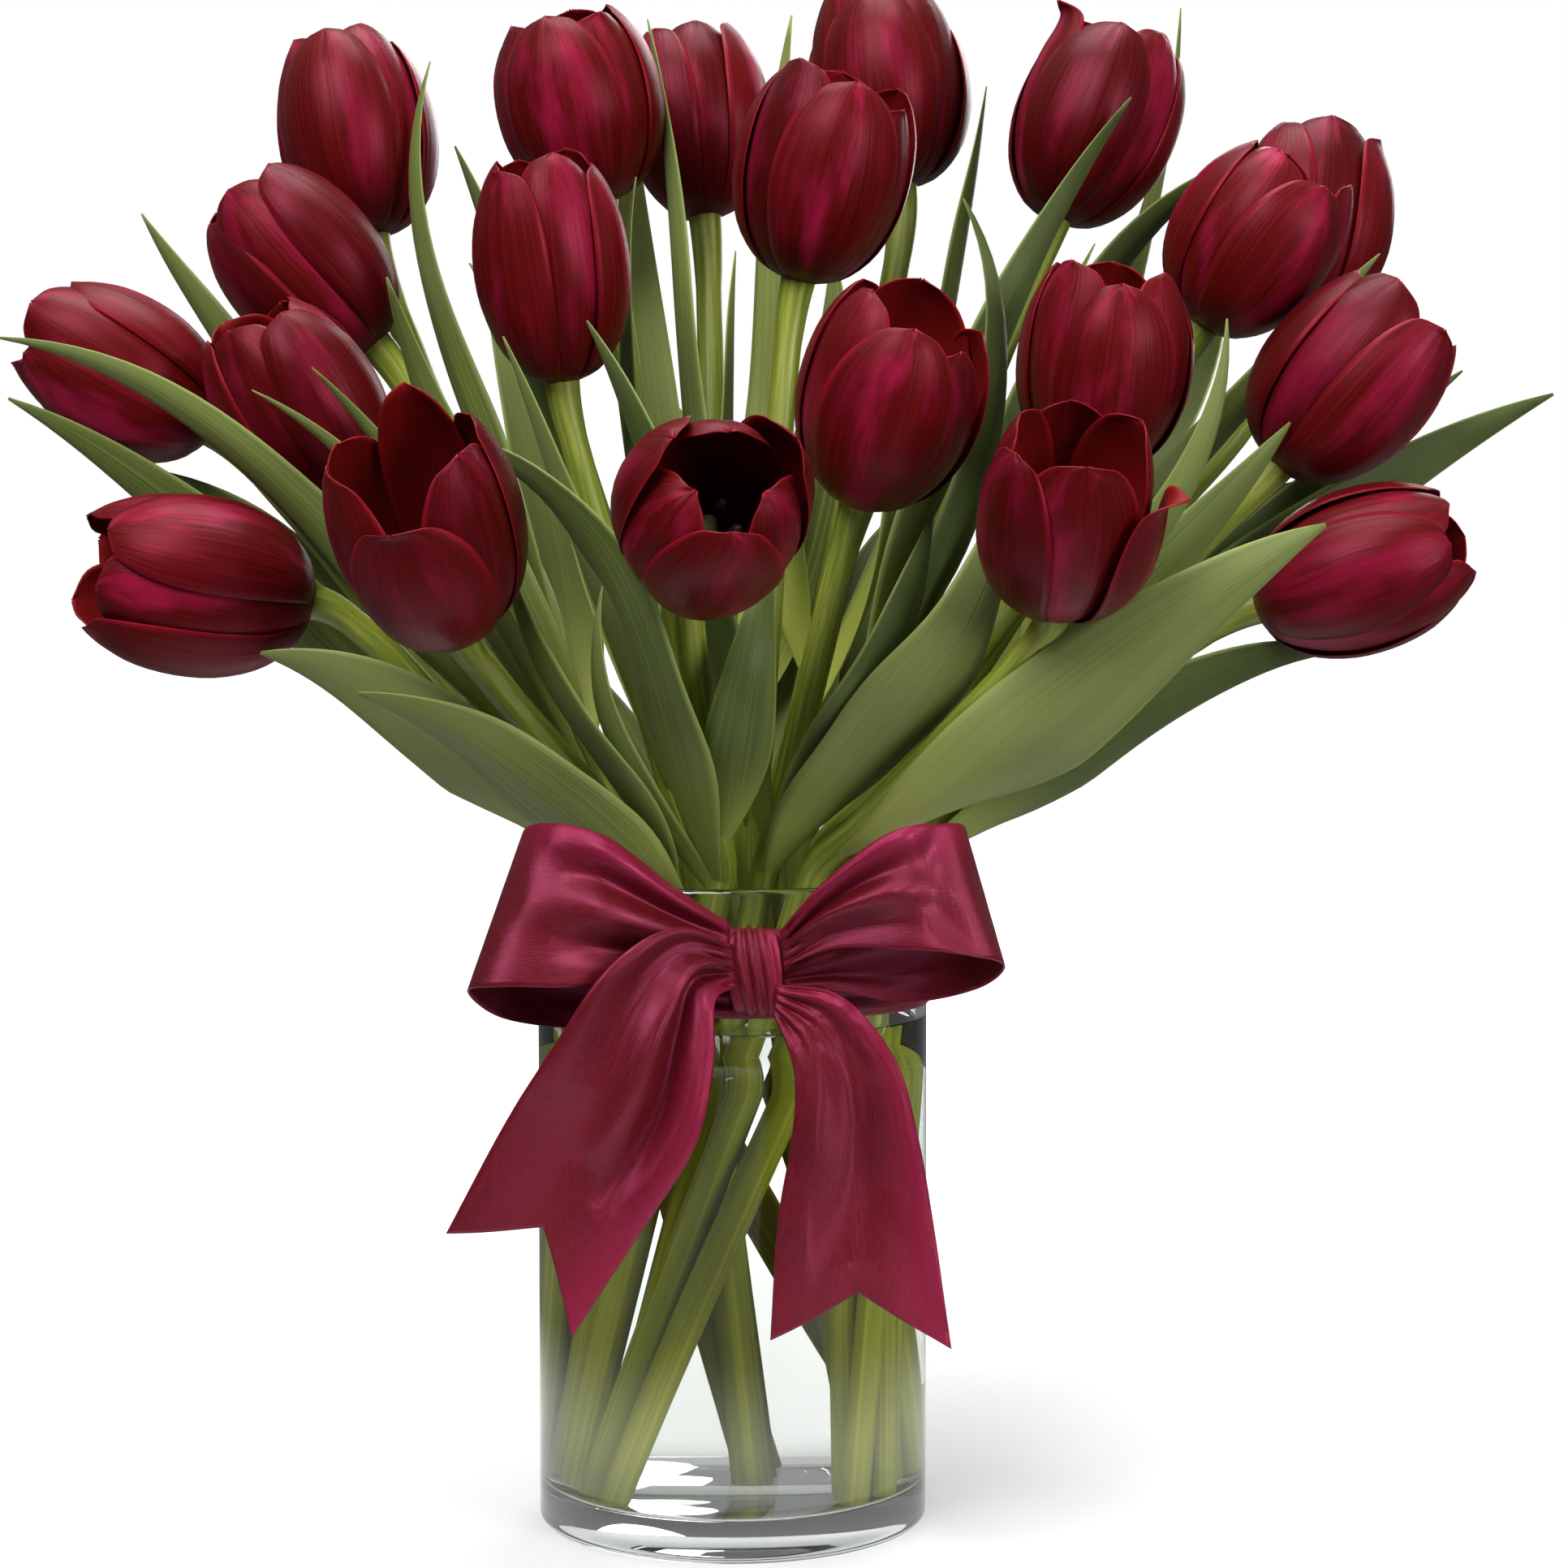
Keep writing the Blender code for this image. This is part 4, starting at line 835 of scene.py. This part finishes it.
def petal_shell(radius, length, openness, middle_angle, inner, odd, luck):
    """One petal about the Z axis."""
    sections = np.column_stack([PETAL_CLOSED, PETAL_OPEN, PETAL_HALF_WIDTH, PETAL_HEIGHT])
    closed, spread, widths, heights = smooth_line(sections, PETAL_ROWS).T[..., None]
    t = np.linspace(0, 1, PETAL_ROWS)[:, None]
    u = np.linspace(-1, 1, PETAL_COLUMNS)[None]
    lean, longer, wider = odd
    flare = luck.uniform(*PETAL_FLARE) + lean
    roll = luck.uniform(-PETAL_ROLL, PETAL_ROLL)
    ribs = luck.uniform(*PETAL_RIBS)
    wave, start = luck.uniform(*PETAL_WAVE), luck.uniform(0, 2 * math.pi)
    distance = radius * (closed * (1 - openness) + spread * openness)
    distance = np.maximum(distance - PETAL_INSET[inner] * np.minimum(1, 4 * t), PETAL_LEAST_DISTANCE)
    half = radius * wider * np.maximum(widths, PETAL_LEAST_WIDTH) * PETAL_WIDTH[inner]
    angle = middle_angle + u * half / distance + luck.uniform(-PETAL_TWIST, PETAL_TWIST) * t**2
    tip = np.clip(7 * (1 - t), 0, 1)
    away = distance + radius * (
        flare * t**4
        + roll * u**3 * np.sin(math.pi * t)
        - PETAL_LOBE * u**2 * np.minimum(1, 3 * t) * tip
        + PETAL_EDGE_ROLL * np.abs(u) ** 12 * np.minimum(1, 2 * t) * tip
        + PETAL_RIB_HEIGHT * np.sin(ribs * u + 5 * t + start) * np.sin(math.pi * t)
        + wave * u**2 * t * np.sin(9 * t + start + 2 * u)
        - PETAL_CREASE * np.exp(-((u / PETAL_CREASE_WIDTH) ** 2)) * t**2 * (1.2 - t) * tip
    )
    size = length * longer * luck.uniform(*PETAL_LENGTH[inner])
    height = size * heights + wave * radius * np.sin(7 * u + start) * t**6 * (1 - u**2)
    surface = np.stack([away * np.cos(angle), away * np.sin(angle), height + 0 * u], -1)
    thickness = np.interp(np.maximum(u**4, t**6), (0, 1), PETAL_THICKNESS)
    points, faces, marks = skin_on(surface, thickness, {"along": t, "across": u, "kind": luck.uniform(0, 1)})
    front, back = np.linalg.norm(points[:, :2], axis=1).reshape(2, -1).mean(axis=1)
    if front < back:
        marks["inside"] = 1 - marks["inside"]
    return points, faces, marks


def petal_material():
    material, shading = new_material("tulip_petal")
    along, inside, kind = (shading.mark(mark) for mark in ("along", "inside", "kind"))
    side = shading.math("ABSOLUTE", shading.mark("across"))
    veins = fibre_lines(shading, 22.0, 1.6)
    flush = fibre_lines(shading, 1.7, 2.0)
    # painted sheen: magenta patches in the middle of each petal, stronger on some petals than on others
    painted_sheen = shading.spread(side, 0.1, 0.95, 0.85, 0.0)
    painted_sheen = shading.times(shading.spread(flush, 0.45, 0.68), painted_sheen)
    # edge and tip made brighter: partly their own lighter red, partly painted light through the thin petal
    edge = shading.times(shading.spread(side, 0.86, 1.0), shading.spread(along, 0.2, 0.7))
    edge = shading.math("MAXIMUM", edge, shading.spread(along, 0.95, 0.99))
    red = shading.layered(
        shading.ramp(veins, PETAL_REDS),
        (shading.spread(kind, 0.1, 0.5, 0.55, 0.0), PETAL_DARK),
        (shading.times(painted_sheen, shading.spread(kind, 0.2, 0.9, 0.45, 1.0)), PETAL_PAINTED_SHEEN),
        (shading.times(edge, 0.6), PETAL_EDGE_RED_AND_PAINTED_LIGHT),
        (shading.spread(along, 0.0, 0.3, 0.75, 0.0), PETAL_FOOT),
        # the inner side: its own colour with painted light through the petal
        (shading.times(inside, 0.7), PETAL_INSIDE_AND_PAINTED_LIGHT),
        # painted shade deep in the cup
        (shading.times(inside, shading.spread(along, 0.1, 0.6, 0.9, 0.0)), PETAL_DEPTH_PAINTED_SHADE),
    )
    rib = shading.spread(side, 0.0, 0.1, 0.35, 0.0)
    inputs = {
        "Base Color": red,
        "Roughness": shading.spread(veins, 0.3, 0.75, 0.32, 0.46),
        "IOR": 1.4,
        "Specular IOR Level": 0.45,
        "Specular Tint": PETAL_GLOSS,
        "Sheen Weight": 0.02,
        "Sheen Roughness": 0.35,
        "Sheen Tint": PETAL_SHEEN,
        "Normal": shading.bump(shading.math("SUBTRACT", veins, rib), 0.3 * MM, 0.4),
    }
    return solid_finish(material, shading, inputs)


def laid_on(shells, base, tip):
    """Shells made about the Z axis, laid along a bloom's axis."""
    turn = np.array(Vector(tip - base).to_track_quat("Z", "Y").to_matrix())
    return [(points @ turn.T + base, *rest) for points, *rest in shells]


petal_skin = petal_material()
for number, (base, tip, radius, openness, turn) in enumerate(TULIPS, 1):
    luck = np.random.RandomState(PETAL_SEED + number)
    base, tip = np.array((base, tip)) * MM
    length = np.linalg.norm(tip - base)
    shells = []
    for k in range(6):
        odd = ODD_PETALS.get((number, k), (0.0, 1.0, 1.0))
        angle = math.radians(turn + 60 * k)
        shells.append((*petal_shell(radius * MM, length, openness, angle, k % 2, odd, luck), 0))
    name = f"tulip_{number:02d}"
    show(joined_mesh(name + "_petals", laid_on(shells, base, tip), [petal_skin]), [name + "_bloom"])


# The hearts: in the blooms that stand open, a green three-lobed pistil and six stamens with dark anthers.
# They stand on the seat at the bottom of the cup.
OPEN_ENOUGH = 0.3
PISTIL_RADIUS = 2.9 * MM
PISTIL_HEIGHT = 0.40
PISTIL_LOBES = 0.16
PISTIL_SIDES = 24
STAMEN_RADIUS = 1.0 * MM
STAMEN_HEIGHT = 0.42
STAMEN_SIDES = 12
HEART_ROWS = 15
# The pistil's green is darkened as painted shade, for it stands deep in the cup
PISTIL_PAINTED_SHADE_GREENS = ((0.3, (0.05, 0.06, 0.02)), (0.7, (0.12, 0.13, 0.05)))
ANTHER_BLACKS = ((0.3, (0.006, 0.003, 0.006)), (0.7, (0.03, 0.012, 0.02)))

# At places up their height: how thick a pistil and a stamen are, as shares of their radius,
# and how far a stamen stands off the axis, as a share of the bloom's radius
PISTIL_SHAPE = ((0, 0.1, 0.5, 0.8, 0.86, 0.95, 1), (0.8, 1.0, 0.95, 0.75, 1.25, 1.35, 0.5))
STAMEN_SHAPE = ((0, 0.55, 0.6, 0.68, 0.92, 1), (1.0, 0.7, 0.8, 1.9, 1.8, 0.5))
STAMEN_REACH = ((0, 0.5, 1), (0.14, 0.27, 0.34))


def heart_material(name, colours):
    material, shading = new_material(name)
    grain = shading.noise(420.0, 4.0)
    inputs = {
        "Base Color": shading.ramp(grain, colours),
        "Roughness": shading.spread(grain, 0.3, 0.7, 0.45, 0.7),
        "Normal": shading.bump(grain, 0.2 * MM, 0.5),
    }
    return solid_finish(material, shading, inputs)


heart_skins = [heart_material("tulip_pistil", PISTIL_PAINTED_SHADE_GREENS), heart_material("tulip_anther", ANTHER_BLACKS)]
for number, (base, tip, radius, openness, turn) in enumerate(TULIPS, 1):
    if openness < OPEN_ENOUGH:
        continue
    base, tip = np.array((base, tip)) * MM
    length = np.linalg.norm(tip - base)
    s = np.linspace(0, 1, HEART_ROWS)
    rod = np.column_stack([0 * s, 0 * s, s * PISTIL_HEIGHT * length])
    lobes = 1 + PISTIL_LOBES * np.cos(3 * np.arange(PISTIL_SIDES) * 2 * math.pi / PISTIL_SIDES)
    body = PISTIL_RADIUS * np.interp(s, *PISTIL_SHAPE)
    shells = [(*tube(rod, body[:, None] * lobes, PISTIL_SIDES), 0)]
    for k in range(6):
        angle = math.radians(turn + 30 + 60 * k)
        reach = np.interp(s, *STAMEN_REACH) * radius * MM
        rod = np.column_stack([math.cos(angle) * reach, math.sin(angle) * reach, s * STAMEN_HEIGHT * length])
        shells.append((*tube(rod, np.interp(s, *STAMEN_SHAPE) * STAMEN_RADIUS, STAMEN_SIDES), 1))
    show(joined_mesh(f"tulip_{number:02d}_heart", laid_on(shells, base, tip), heart_skins), [])


# The ribbon: satin, about 42 mm wide, woven with a fine thread and a firm edge. A length of it runs round
# the glass under the bow, folded to half its width, and holds the bow to the vase.
BAND_BOTTOM = 148 * MM
BAND_TOP = 172 * MM
BAND_OFF_GLASS = 0.35 * MM
BAND_ROWS = 160
BAND_COLUMNS = 25
BAND_FOLDS = 5
BAND_FOLD_DEPTH = 0.9 * MM
BAND_WAVER = 0.6 * MM
RIBBON_SKIN = 0.5 * MM
SATIN_REDS = ((0.3, (0.074, 0.0040, 0.0050)), (0.5, (0.100, 0.0055, 0.007)), (0.72, (0.14, 0.0075, 0.011)))
SATIN_LIGHT = (0.14, 0.0085, 0.011)
SATIN_DARK = (0.052, 0.0035, 0.0045)
# Painted sheen: magenta laid towards one edge of each stretch, the side that turns to the lamps
SATIN_PAINTED_SHEEN = (0.23, 0.0075, 0.038)
SATIN_EDGE = (0.17, 0.007, 0.022)
SATIN_GLOSS = (1.0, 0.18, 0.40, 1.0)
SATIN_SHEEN = (1.0, 0.35, 0.55, 1.0)


def ribbon_material():
    material, shading = new_material("satin_ribbon")
    across = shading.mark("across")
    threads = fibre_lines(shading, 90.0, 6.0)
    broad = shading.noise(30.0, 3.0)
    edge = shading.spread(shading.math("ABSOLUTE", across), 0.955, 0.985)
    satin = shading.layered(
        shading.ramp(threads, SATIN_REDS),
        (shading.spread(broad, 0.45, 0.75, 0.0, 0.5), SATIN_LIGHT),
        (shading.spread(broad, 0.3, 0.5, 0.45, 0.0), SATIN_DARK),
        # painted sheen towards one edge of the ribbon
        (shading.spread(across, 0.2, 1.0, 0.0, 0.6), SATIN_PAINTED_SHEEN),
        (shading.times(edge, 0.45), SATIN_EDGE),
    )
    weave = {"Scale": 900.0, "Distortion": 1.5, "Detail": 1.0}
    weave = shading.add("TexWave", weave, bands_direction="DIAGONAL").outputs["Fac"]
    relief = shading.math("ADD", threads, shading.times(weave, 0.25))
    relief = shading.math("ADD", relief, shading.times(edge, 0.8))
    inputs = {
        "Base Color": satin,
        "Roughness": shading.spread(threads, 0.3, 0.7, 0.25, 0.37),
        "Specular IOR Level": 1.0,
        "Specular Tint": SATIN_GLOSS,
        "Sheen Weight": 0.05,
        "Sheen Roughness": 0.3,
        "Sheen Tint": SATIN_SHEEN,
        "Normal": shading.bump(relief, 0.12 * MM, 0.4),
    }
    return solid_finish(material, shading, inputs)


def closed_band(surface, marks):
    """A ring of ribbon, closed round its length, as one shell."""
    rows, columns, _ = surface.shape
    normals = standing_off(np.concatenate([surface[-1:], surface, surface[:1]]))[1:-1]
    half = unit(normals) * RIBBON_SKIN / 2
    points = np.concatenate([surface + half, (surface - half)[:, ::-1]], axis=1).reshape(-1, 3)
    faces = facing_out(points, grid_faces(rows, 2 * columns, closed_rows=True, closed_columns=True))
    marks = {key: np.broadcast_to(value, (rows, columns)) for key, value in marks.items()}
    marks = {key: np.hstack([value, value[:, ::-1]]).reshape(-1) for key, value in marks.items()}
    return points, faces, marks


def ribbon_piece(name, shell, node):
    return show(joined_mesh(name, [(*shell, 0)], [ribbon_skin]), [node])


ribbon_skin = ribbon_material()
angles = np.linspace(0, 2 * math.pi, BAND_ROWS, endpoint=False)[:, None]
v = np.linspace(-1, 1, BAND_COLUMNS)[None]
creases = 0.5 + 0.5 * np.cos(BAND_FOLDS * math.pi * v + 0.5 * np.sin(2 * angles))
radius = VASE_RADIUS + GAP + BAND_OFF_GLASS + BAND_FOLD_DEPTH * creases
height = (BAND_BOTTOM + BAND_TOP) / 2 + v * (BAND_TOP - BAND_BOTTOM) / 2 + BAND_WAVER * np.sin(3 * angles)
surface = np.stack([radius * np.cos(angles), radius * np.sin(angles), height + 0 * angles], -1)
marks = {"along": 8 * angles / (2 * math.pi), "across": v, "kind": 0.2}
band = ribbon_piece("band_satin", closed_band(surface, marks), "ribbon_band")


# The bow: two loops and two tails of the same ribbon, pinched by a short wrap that makes the knot. The
# cloth gathers into pleats where it enters the knot, and the tails end in V cuts.
KNOT_CENTRE = np.array([7.0, -62.4, 162.0]) * MM
KNOT_WIDTH = 14 * MM
KNOT_HEIGHT = 25 * MM
KNOT_DEPTH = 12 * MM
KNOT_ROWS = 96
KNOT_COLUMNS = 41
KNOT_ROOM = 0.9 * MM
KNOT_PINCH = 0.20
KNOT_PLEATS = 4
KNOT_PLEAT_DEPTH = 0.55 * MM
KNOT_SLANT = 1.3 * MM
KNOT_EDGE_SLANT = 0.8 * MM
STRIP_ROWS = 90
STRIP_COLUMNS = 33
STRIP_SEED = 500
PLEATS = 4
PLEAT_DEPTH = 1.3 * MM
PLEAT_FADE = 15 * MM
PLEAT_START = 5 * MM
FOLD_ROUNDNESS = 0.7
DENT_EASE = 0.6
MARK_LENGTH = 20 * MM

# Middle line and half-width vectors of each stretch of the bow, in mm from the knot's centre
LOOP_RIGHT = (
    ((6.7, -2.5, 6), (0, 0, 5)),
    ((20, -9, 16), (-1, 0, 9)),
    ((38, -16, 22.5), (-3, 2, 15)),
    ((53, -14, 23), (-5, 4, 17)),
    ((60.5, -3, 20), (-5, 5, 18)),
    ((55, 6.5, 13), (-4, 4, 18)),
    ((38, 8, 7.5), (-3, 2, 16.5)),
    ((20, 4.5, 4), (-2, 1, 10)),
    ((6.7, 2.5, 0), (0, 0, 6)),
)
LOOP_LEFT = (
    ((-6.7, -2.5, 5), (0, 0, 8)),
    ((-22, -10, 11), (1, 0, 12)),
    ((-42, -18, 17.5), (3, 2, 19.5)),
    ((-60, -14.5, 19), (6, 4, 21)),
    ((-68.5, -3, 16), (7, 5, 20.5)),
    ((-62, 7, 8), (5, 4, 21)),
    ((-42, 8, 2), (3, 2, 18)),
    ((-20, 4.5, -1), (2, 1, 12)),
    ((-6.7, 2.5, -3), (0, 0, 8)),
)
TAIL_LEFT = (
    ((-5.5, -4.4, 2), (0.3, 0, -5.5)),
    ((-17, -14.5, 3), (5, 2, -10)),
    ((-25, -19, -9), (13, 4.5, -13)),
    ((-34, -17, -30), (18.5, 3, -12.5)),
    ((-47, -12, -52), (19, 2, -12.5)),
    ((-65, -8, -82.5), (16.5, 0.5, -14)),
)
TAIL_RIGHT = (
    ((5.2, -4.3, -7), (0.3, 0, 4)),
    ((16, -9, -13), (7, 1, 7)),
    ((23.5, -8, -26), (13, 1, 4)),
    ((26, -6, -43), (16.5, 1, 1)),
    ((26.5, -4, -66), (20.5, 0, 0)),
    ((28, -4, -99), (24, -1, -1)),
)

# Folds of each stretch: where the crease lies across the ribbon at its start and at its end (-1 to 1), its
# width, its depth (mm, outwards if above 0), and where it starts and ends as shares of the length
LOOP_RIGHT_FOLDS = (
    (0.75, 0.85, 0.22, 2.5, 0.02, 0.40),
    (0.35, 0.45, 0.18, -2.5, 0.02, 0.34),
    (0.0, 0.0, 0.28, 3.5, 0.03, 0.40),
    (-0.5, -0.5, 0.2, -2.5, 0.02, 0.32),
    (0.2, -0.1, 0.3, -3.0, 0.62, 0.98),
    (-0.5, -0.6, 0.3, 2.5, 0.60, 0.98),
)
LOOP_LEFT_FOLDS = (
    (0.7, 0.8, 0.2, 3.0, 0.02, 0.40),
    (0.35, 0.45, 0.17, -3.0, 0.02, 0.34),
    (0.0, 0.05, 0.3, 4.0, 0.03, 0.42),
    (-0.5, -0.45, 0.2, -3.0, 0.02, 0.34),
    (0.1, 0.0, 0.3, -3.0, 0.62, 0.98),
    (-0.6, -0.6, 0.3, 2.5, 0.60, 0.98),
)
TAIL_LEFT_FOLDS = (
    (0.0, 0.15, 0.22, 4.5, 0.02, 0.66),
    (0.42, 0.5, 0.18, -5.5, 0.01, 0.75),
    (0.9, 0.95, 0.28, 4.5, 0.03, 0.75),
    (-0.4, -0.5, 0.25, -2.0, 0.03, 0.50),
    (-0.9, -0.8, 0.3, 2.5, 0.02, 0.60),
    (-0.2, 0.1, 0.5, -2.0, 0.45, 1.10),
)
TAIL_RIGHT_FOLDS = (
    (0.8, 0.95, 0.3, 3.5, 0.02, 0.95),
    (0.2, 0.0, 0.35, -3.0, 0.02, 0.80),
    (-0.6, -0.8, 0.3, 2.5, 0.10, 1.10),
    (0.4, 0.5, 0.4, 1.5, 0.60, 1.20),
)

# The dent across a loop before it turns back: its place and width as shares of the length, its bow and depth
LOOP_RIGHT_DENT = (0.355, 0.04, 0.05, -2.8 * MM)
LOOP_LEFT_DENT = (0.33, 0.06, -0.03, -1.4 * MM)

# The four stretches of the bow: name, middle line, depth of the V cut (0 for a loop, which goes back to the
# knot), folds, dent, the side that faces out, flat size (m) and how it is held
STRIPS = (
    ("bow_loop_left", LOOP_LEFT, 0.0, LOOP_LEFT_FOLDS, LOOP_LEFT_DENT, 1, (0.042, 0.150), "folded"),
    ("bow_loop_right", LOOP_RIGHT, 0.0, LOOP_RIGHT_FOLDS, LOOP_RIGHT_DENT, -1, (0.042, 0.135), "folded"),
    ("bow_tail_left", TAIL_LEFT, 18 * MM, TAIL_LEFT_FOLDS, None, -1, (0.042, 0.116), "hung"),
    ("bow_tail_right", TAIL_RIGHT, 14 * MM, TAIL_RIGHT_FOLDS, None, -1, (0.042, 0.102), "hung"),
)


def strip_surface(stations, notch, folds, dent, outwards, luck):
    """A strip of ribbon through its stations, with its folds, and fine pleats where the knot pinches it."""
    centres = smooth_line([c for c, _ in stations], 8 * STRIP_ROWS) * MM + KNOT_CENTRE
    halves = smooth_line([h for _, h in stations], 8 * STRIP_ROWS) * MM
    lengths = np.concatenate([[0], np.cumsum(np.linalg.norm(np.diff(centres, axis=0), axis=1))])
    u = np.linspace(-1, 1, STRIP_COLUMNS)[None]
    reach = (lengths[-1] - notch * (1 - np.abs(u))) * np.linspace(0, 1, STRIP_ROWS)[:, None]
    ways = np.hstack([centres, halves]).T
    placed = np.stack([np.interp(reach, lengths, way) for way in ways], -1)
    surface = placed[..., :3] + u[..., None] * placed[..., 3:]
    normals = outwards * unit(standing_off(surface))
    share = reach / lengths[-1]
    from_knot = np.minimum(reach, lengths[-1] - reach) if notch == 0 else reach
    ends = np.minimum(1, from_knot / PLEAT_START)
    start = luck.uniform(0, 2 * math.pi)
    relief = PLEAT_DEPTH * np.exp(-from_knot / PLEAT_FADE) * ends * np.sin(PLEATS * math.pi * u + start)
    for first, last, width, depth, begins, stops in folds:
        passed = np.clip((share - begins) / (stops - begins), 0, 1)
        swell = np.sin(math.pi * passed) ** FOLD_ROUNDNESS * ends
        relief = relief + depth * MM * swell * np.exp(-(((u - first - (last - first) * passed) / width) ** 2))
    if dent:
        place, width, bow, depth = dent
        dip = depth * np.exp(-(((share - place - bow * u**2) / width) ** 2))
        relief = relief + dip * (1 - DENT_EASE * u**2)
    marks = {"along": reach / MARK_LENGTH, "across": u, "kind": luck.uniform(0, 1)}
    return surface + normals * relief[..., None], marks


for number, (name, stations, notch, folds, dent, outwards, flat, held) in enumerate(STRIPS):
    luck = np.random.RandomState(STRIP_SEED + number)
    surface, marks = strip_surface(stations, notch, folds, dent, outwards, luck)
    shell = skin_on(surface, np.full(surface.shape[:2], RIBBON_SKIN), marks)
    piece = ribbon_piece(name + "_satin", shell, name)

turns = np.linspace(0, 2 * math.pi, KNOT_ROWS, endpoint=False)[:, None]
v = np.linspace(-1, 1, KNOT_COLUMNS)[None]
pinch = 1 - KNOT_PINCH + KNOT_PINCH * np.abs(np.cos(turns)) ** 1.5
pleats = KNOT_PLEAT_DEPTH * np.cos(KNOT_PLEATS * math.pi * v + 1.2 * np.sin(turns)) * (1 - 0.6 * v**2)
y = -(KNOT_DEPTH / 2 - KNOT_ROOM + pleats) * np.cos(turns) * (1 - 0.18 * v**2)
z = (KNOT_HEIGHT / 2 - KNOT_ROOM + pleats) * np.sin(turns) * (1 - 0.10 * v**2)
x = KNOT_WIDTH / 2 * pinch * v + KNOT_EDGE_SLANT * np.sin(turns) * v**2 - KNOT_SLANT * np.sin(turns)
surface = np.stack([x, y, z], -1) + KNOT_CENTRE
marks = {"along": 3 * turns / (2 * math.pi), "across": v, "kind": 0.6}
knot = ribbon_piece("knot_satin", closed_band(surface, marks), "bow_knot")


# The studio: a plain white table that runs on to the horizon, a large soft lamp from the upper left, a
# weaker one from the right, one from straight above and a faint one from behind.
TABLE_REACH = 40
TABLE_SIDES = 64
TABLE_BELOW = 0.2 * MM
TABLE_WHITE = ((0.3, (0.77, 0.77, 0.77)), (0.7, (0.80, 0.80, 0.80)))
TABLE_NEAR = (0.85, 0.85, 0.85)
TABLE_FAR = (0.10, 0.10, 0.10)
DOME_GREYS = ((0.0, (0.04, 0.04, 0.04)), (0.75, (0.24, 0.24, 0.25)))
WALL_GREYS = ((0.0, (0.40, 0.40, 0.40)), (0.2, (0.60, 0.60, 0.60)), (0.7, (1.0, 1.0, 1.0)))
WHITE = (1.0, 1.0, 1.0)

# Each lamp: where it stands and where it points (m), its size (m) and its watts
LAMPS = (
    ("key", (-0.58, -1.25, 1.6), (0, 0, 0.28), 1.2, 38),
    ("fill", (1.15, -1.1, 0.6), (0, 0, 0.25), 0.8, 15),
    ("top", (0.0, 0.1, 1.9), (0, 0, 0.3), 1.3, 27),
    ("back", (0.5, 1.5, 0.9), (0, 0, 0.25), 1.0, 12),
)


def seen_straight(shading):
    """1 where the camera looks straight at a surface or through clear glass, 0 for all other light."""
    path = shading.add("LightPath").outputs
    bounced = shading.math("ADD", path["Diffuse Depth"], path["Glossy Depth"])
    through = shading.times(path["Is Transmission Ray"], shading.math("LESS_THAN", bounced, 0.5))
    return shading.math("MAXIMUM", path["Is Camera Ray"], through)


def table_material():
    material, shading = new_material("white_table")
    away = shading.add("VectorMath", {0: shading.place()}, operation="LENGTH").outputs["Value"]
    straight = seen_straight(shading)
    other = shading.mix(shading.spread(away, 0.12, 0.32), TABLE_NEAR, TABLE_FAR)
    inputs = {
        "Base Color": shading.mix(straight, other, shading.ramp(shading.noise(3.0, 2.0), TABLE_WHITE)),
        "Roughness": 0.6,
        "Specular IOR Level": 0.1,
        "Emission Color": (*WHITE, 1.0),
        "Emission Strength": shading.times(shading.spread(away, 0.12, 1.3, 0.07, 1.0), straight),
    }
    return solid_finish(material, shading, inputs)


angles = np.linspace(0, 2 * math.pi, TABLE_SIDES, endpoint=False)
edge = [(TABLE_REACH * math.cos(a), TABLE_REACH * math.sin(a), -TABLE_BELOW) for a in angles]
floor_mesh = bpy.data.meshes.new("table")
floor_mesh.from_pydata(edge, [], [tuple(range(TABLE_SIDES))])
floor_mesh.materials.append(table_material())
floor = bpy.data.objects.new("table", floor_mesh)
bpy.context.scene.collection.objects.link(floor)

for name, place, target, size, watts in LAMPS:
    light = bpy.data.lights.new(name, "AREA")
    light.shape = "DISK"
    light.size = size
    light.energy = watts
    lamp = bpy.data.objects.new(name, light)
    lamp.location = place
    lamp.rotation_euler = (Vector(target) - Vector(place)).to_track_quat("-Z", "Y").to_euler()
    bpy.context.scene.collection.objects.link(lamp)

world = bpy.data.worlds.new("studio")
bpy.context.scene.world = world
world.use_nodes = True
shading = Shading(world.node_tree)
world.node_tree.nodes.clear()
direction = shading.add("SeparateXYZ", {0: shading.add("TexCoord").outputs["Generated"]}).outputs
dome = shading.ramp(shading.spread(direction["Z"], -0.2, 1.0), DOME_GREYS)
wall = shading.ramp(shading.math("ABSOLUTE", direction["Y"]), WALL_GREYS)
colour = shading.mix(seen_straight(shading), dome, wall)
colour = shading.mix(shading.add("LightPath").outputs["Is Camera Ray"], colour, WHITE)
background = shading.add("Background", {"Color": colour, "Strength": 1.0})
shading.add("OutputWorld", {"Surface": background.outputs[0]})
bpy.context.scene.view_settings.view_transform = "Standard"

camera = bpy.data.cameras.new("camera")
camera.lens = 77.24
camera.sensor_width = 36.0
camera.clip_start = 0.05
camera.clip_end = 200.0
eye = bpy.data.objects.new("camera", camera)
eye.location = (14.6 * MM, -950 * MM, 258.2 * MM)
eye.rotation_euler = (math.radians(87.0), 0, 0)
bpy.context.scene.collection.objects.link(eye)
bpy.context.scene.camera = eye
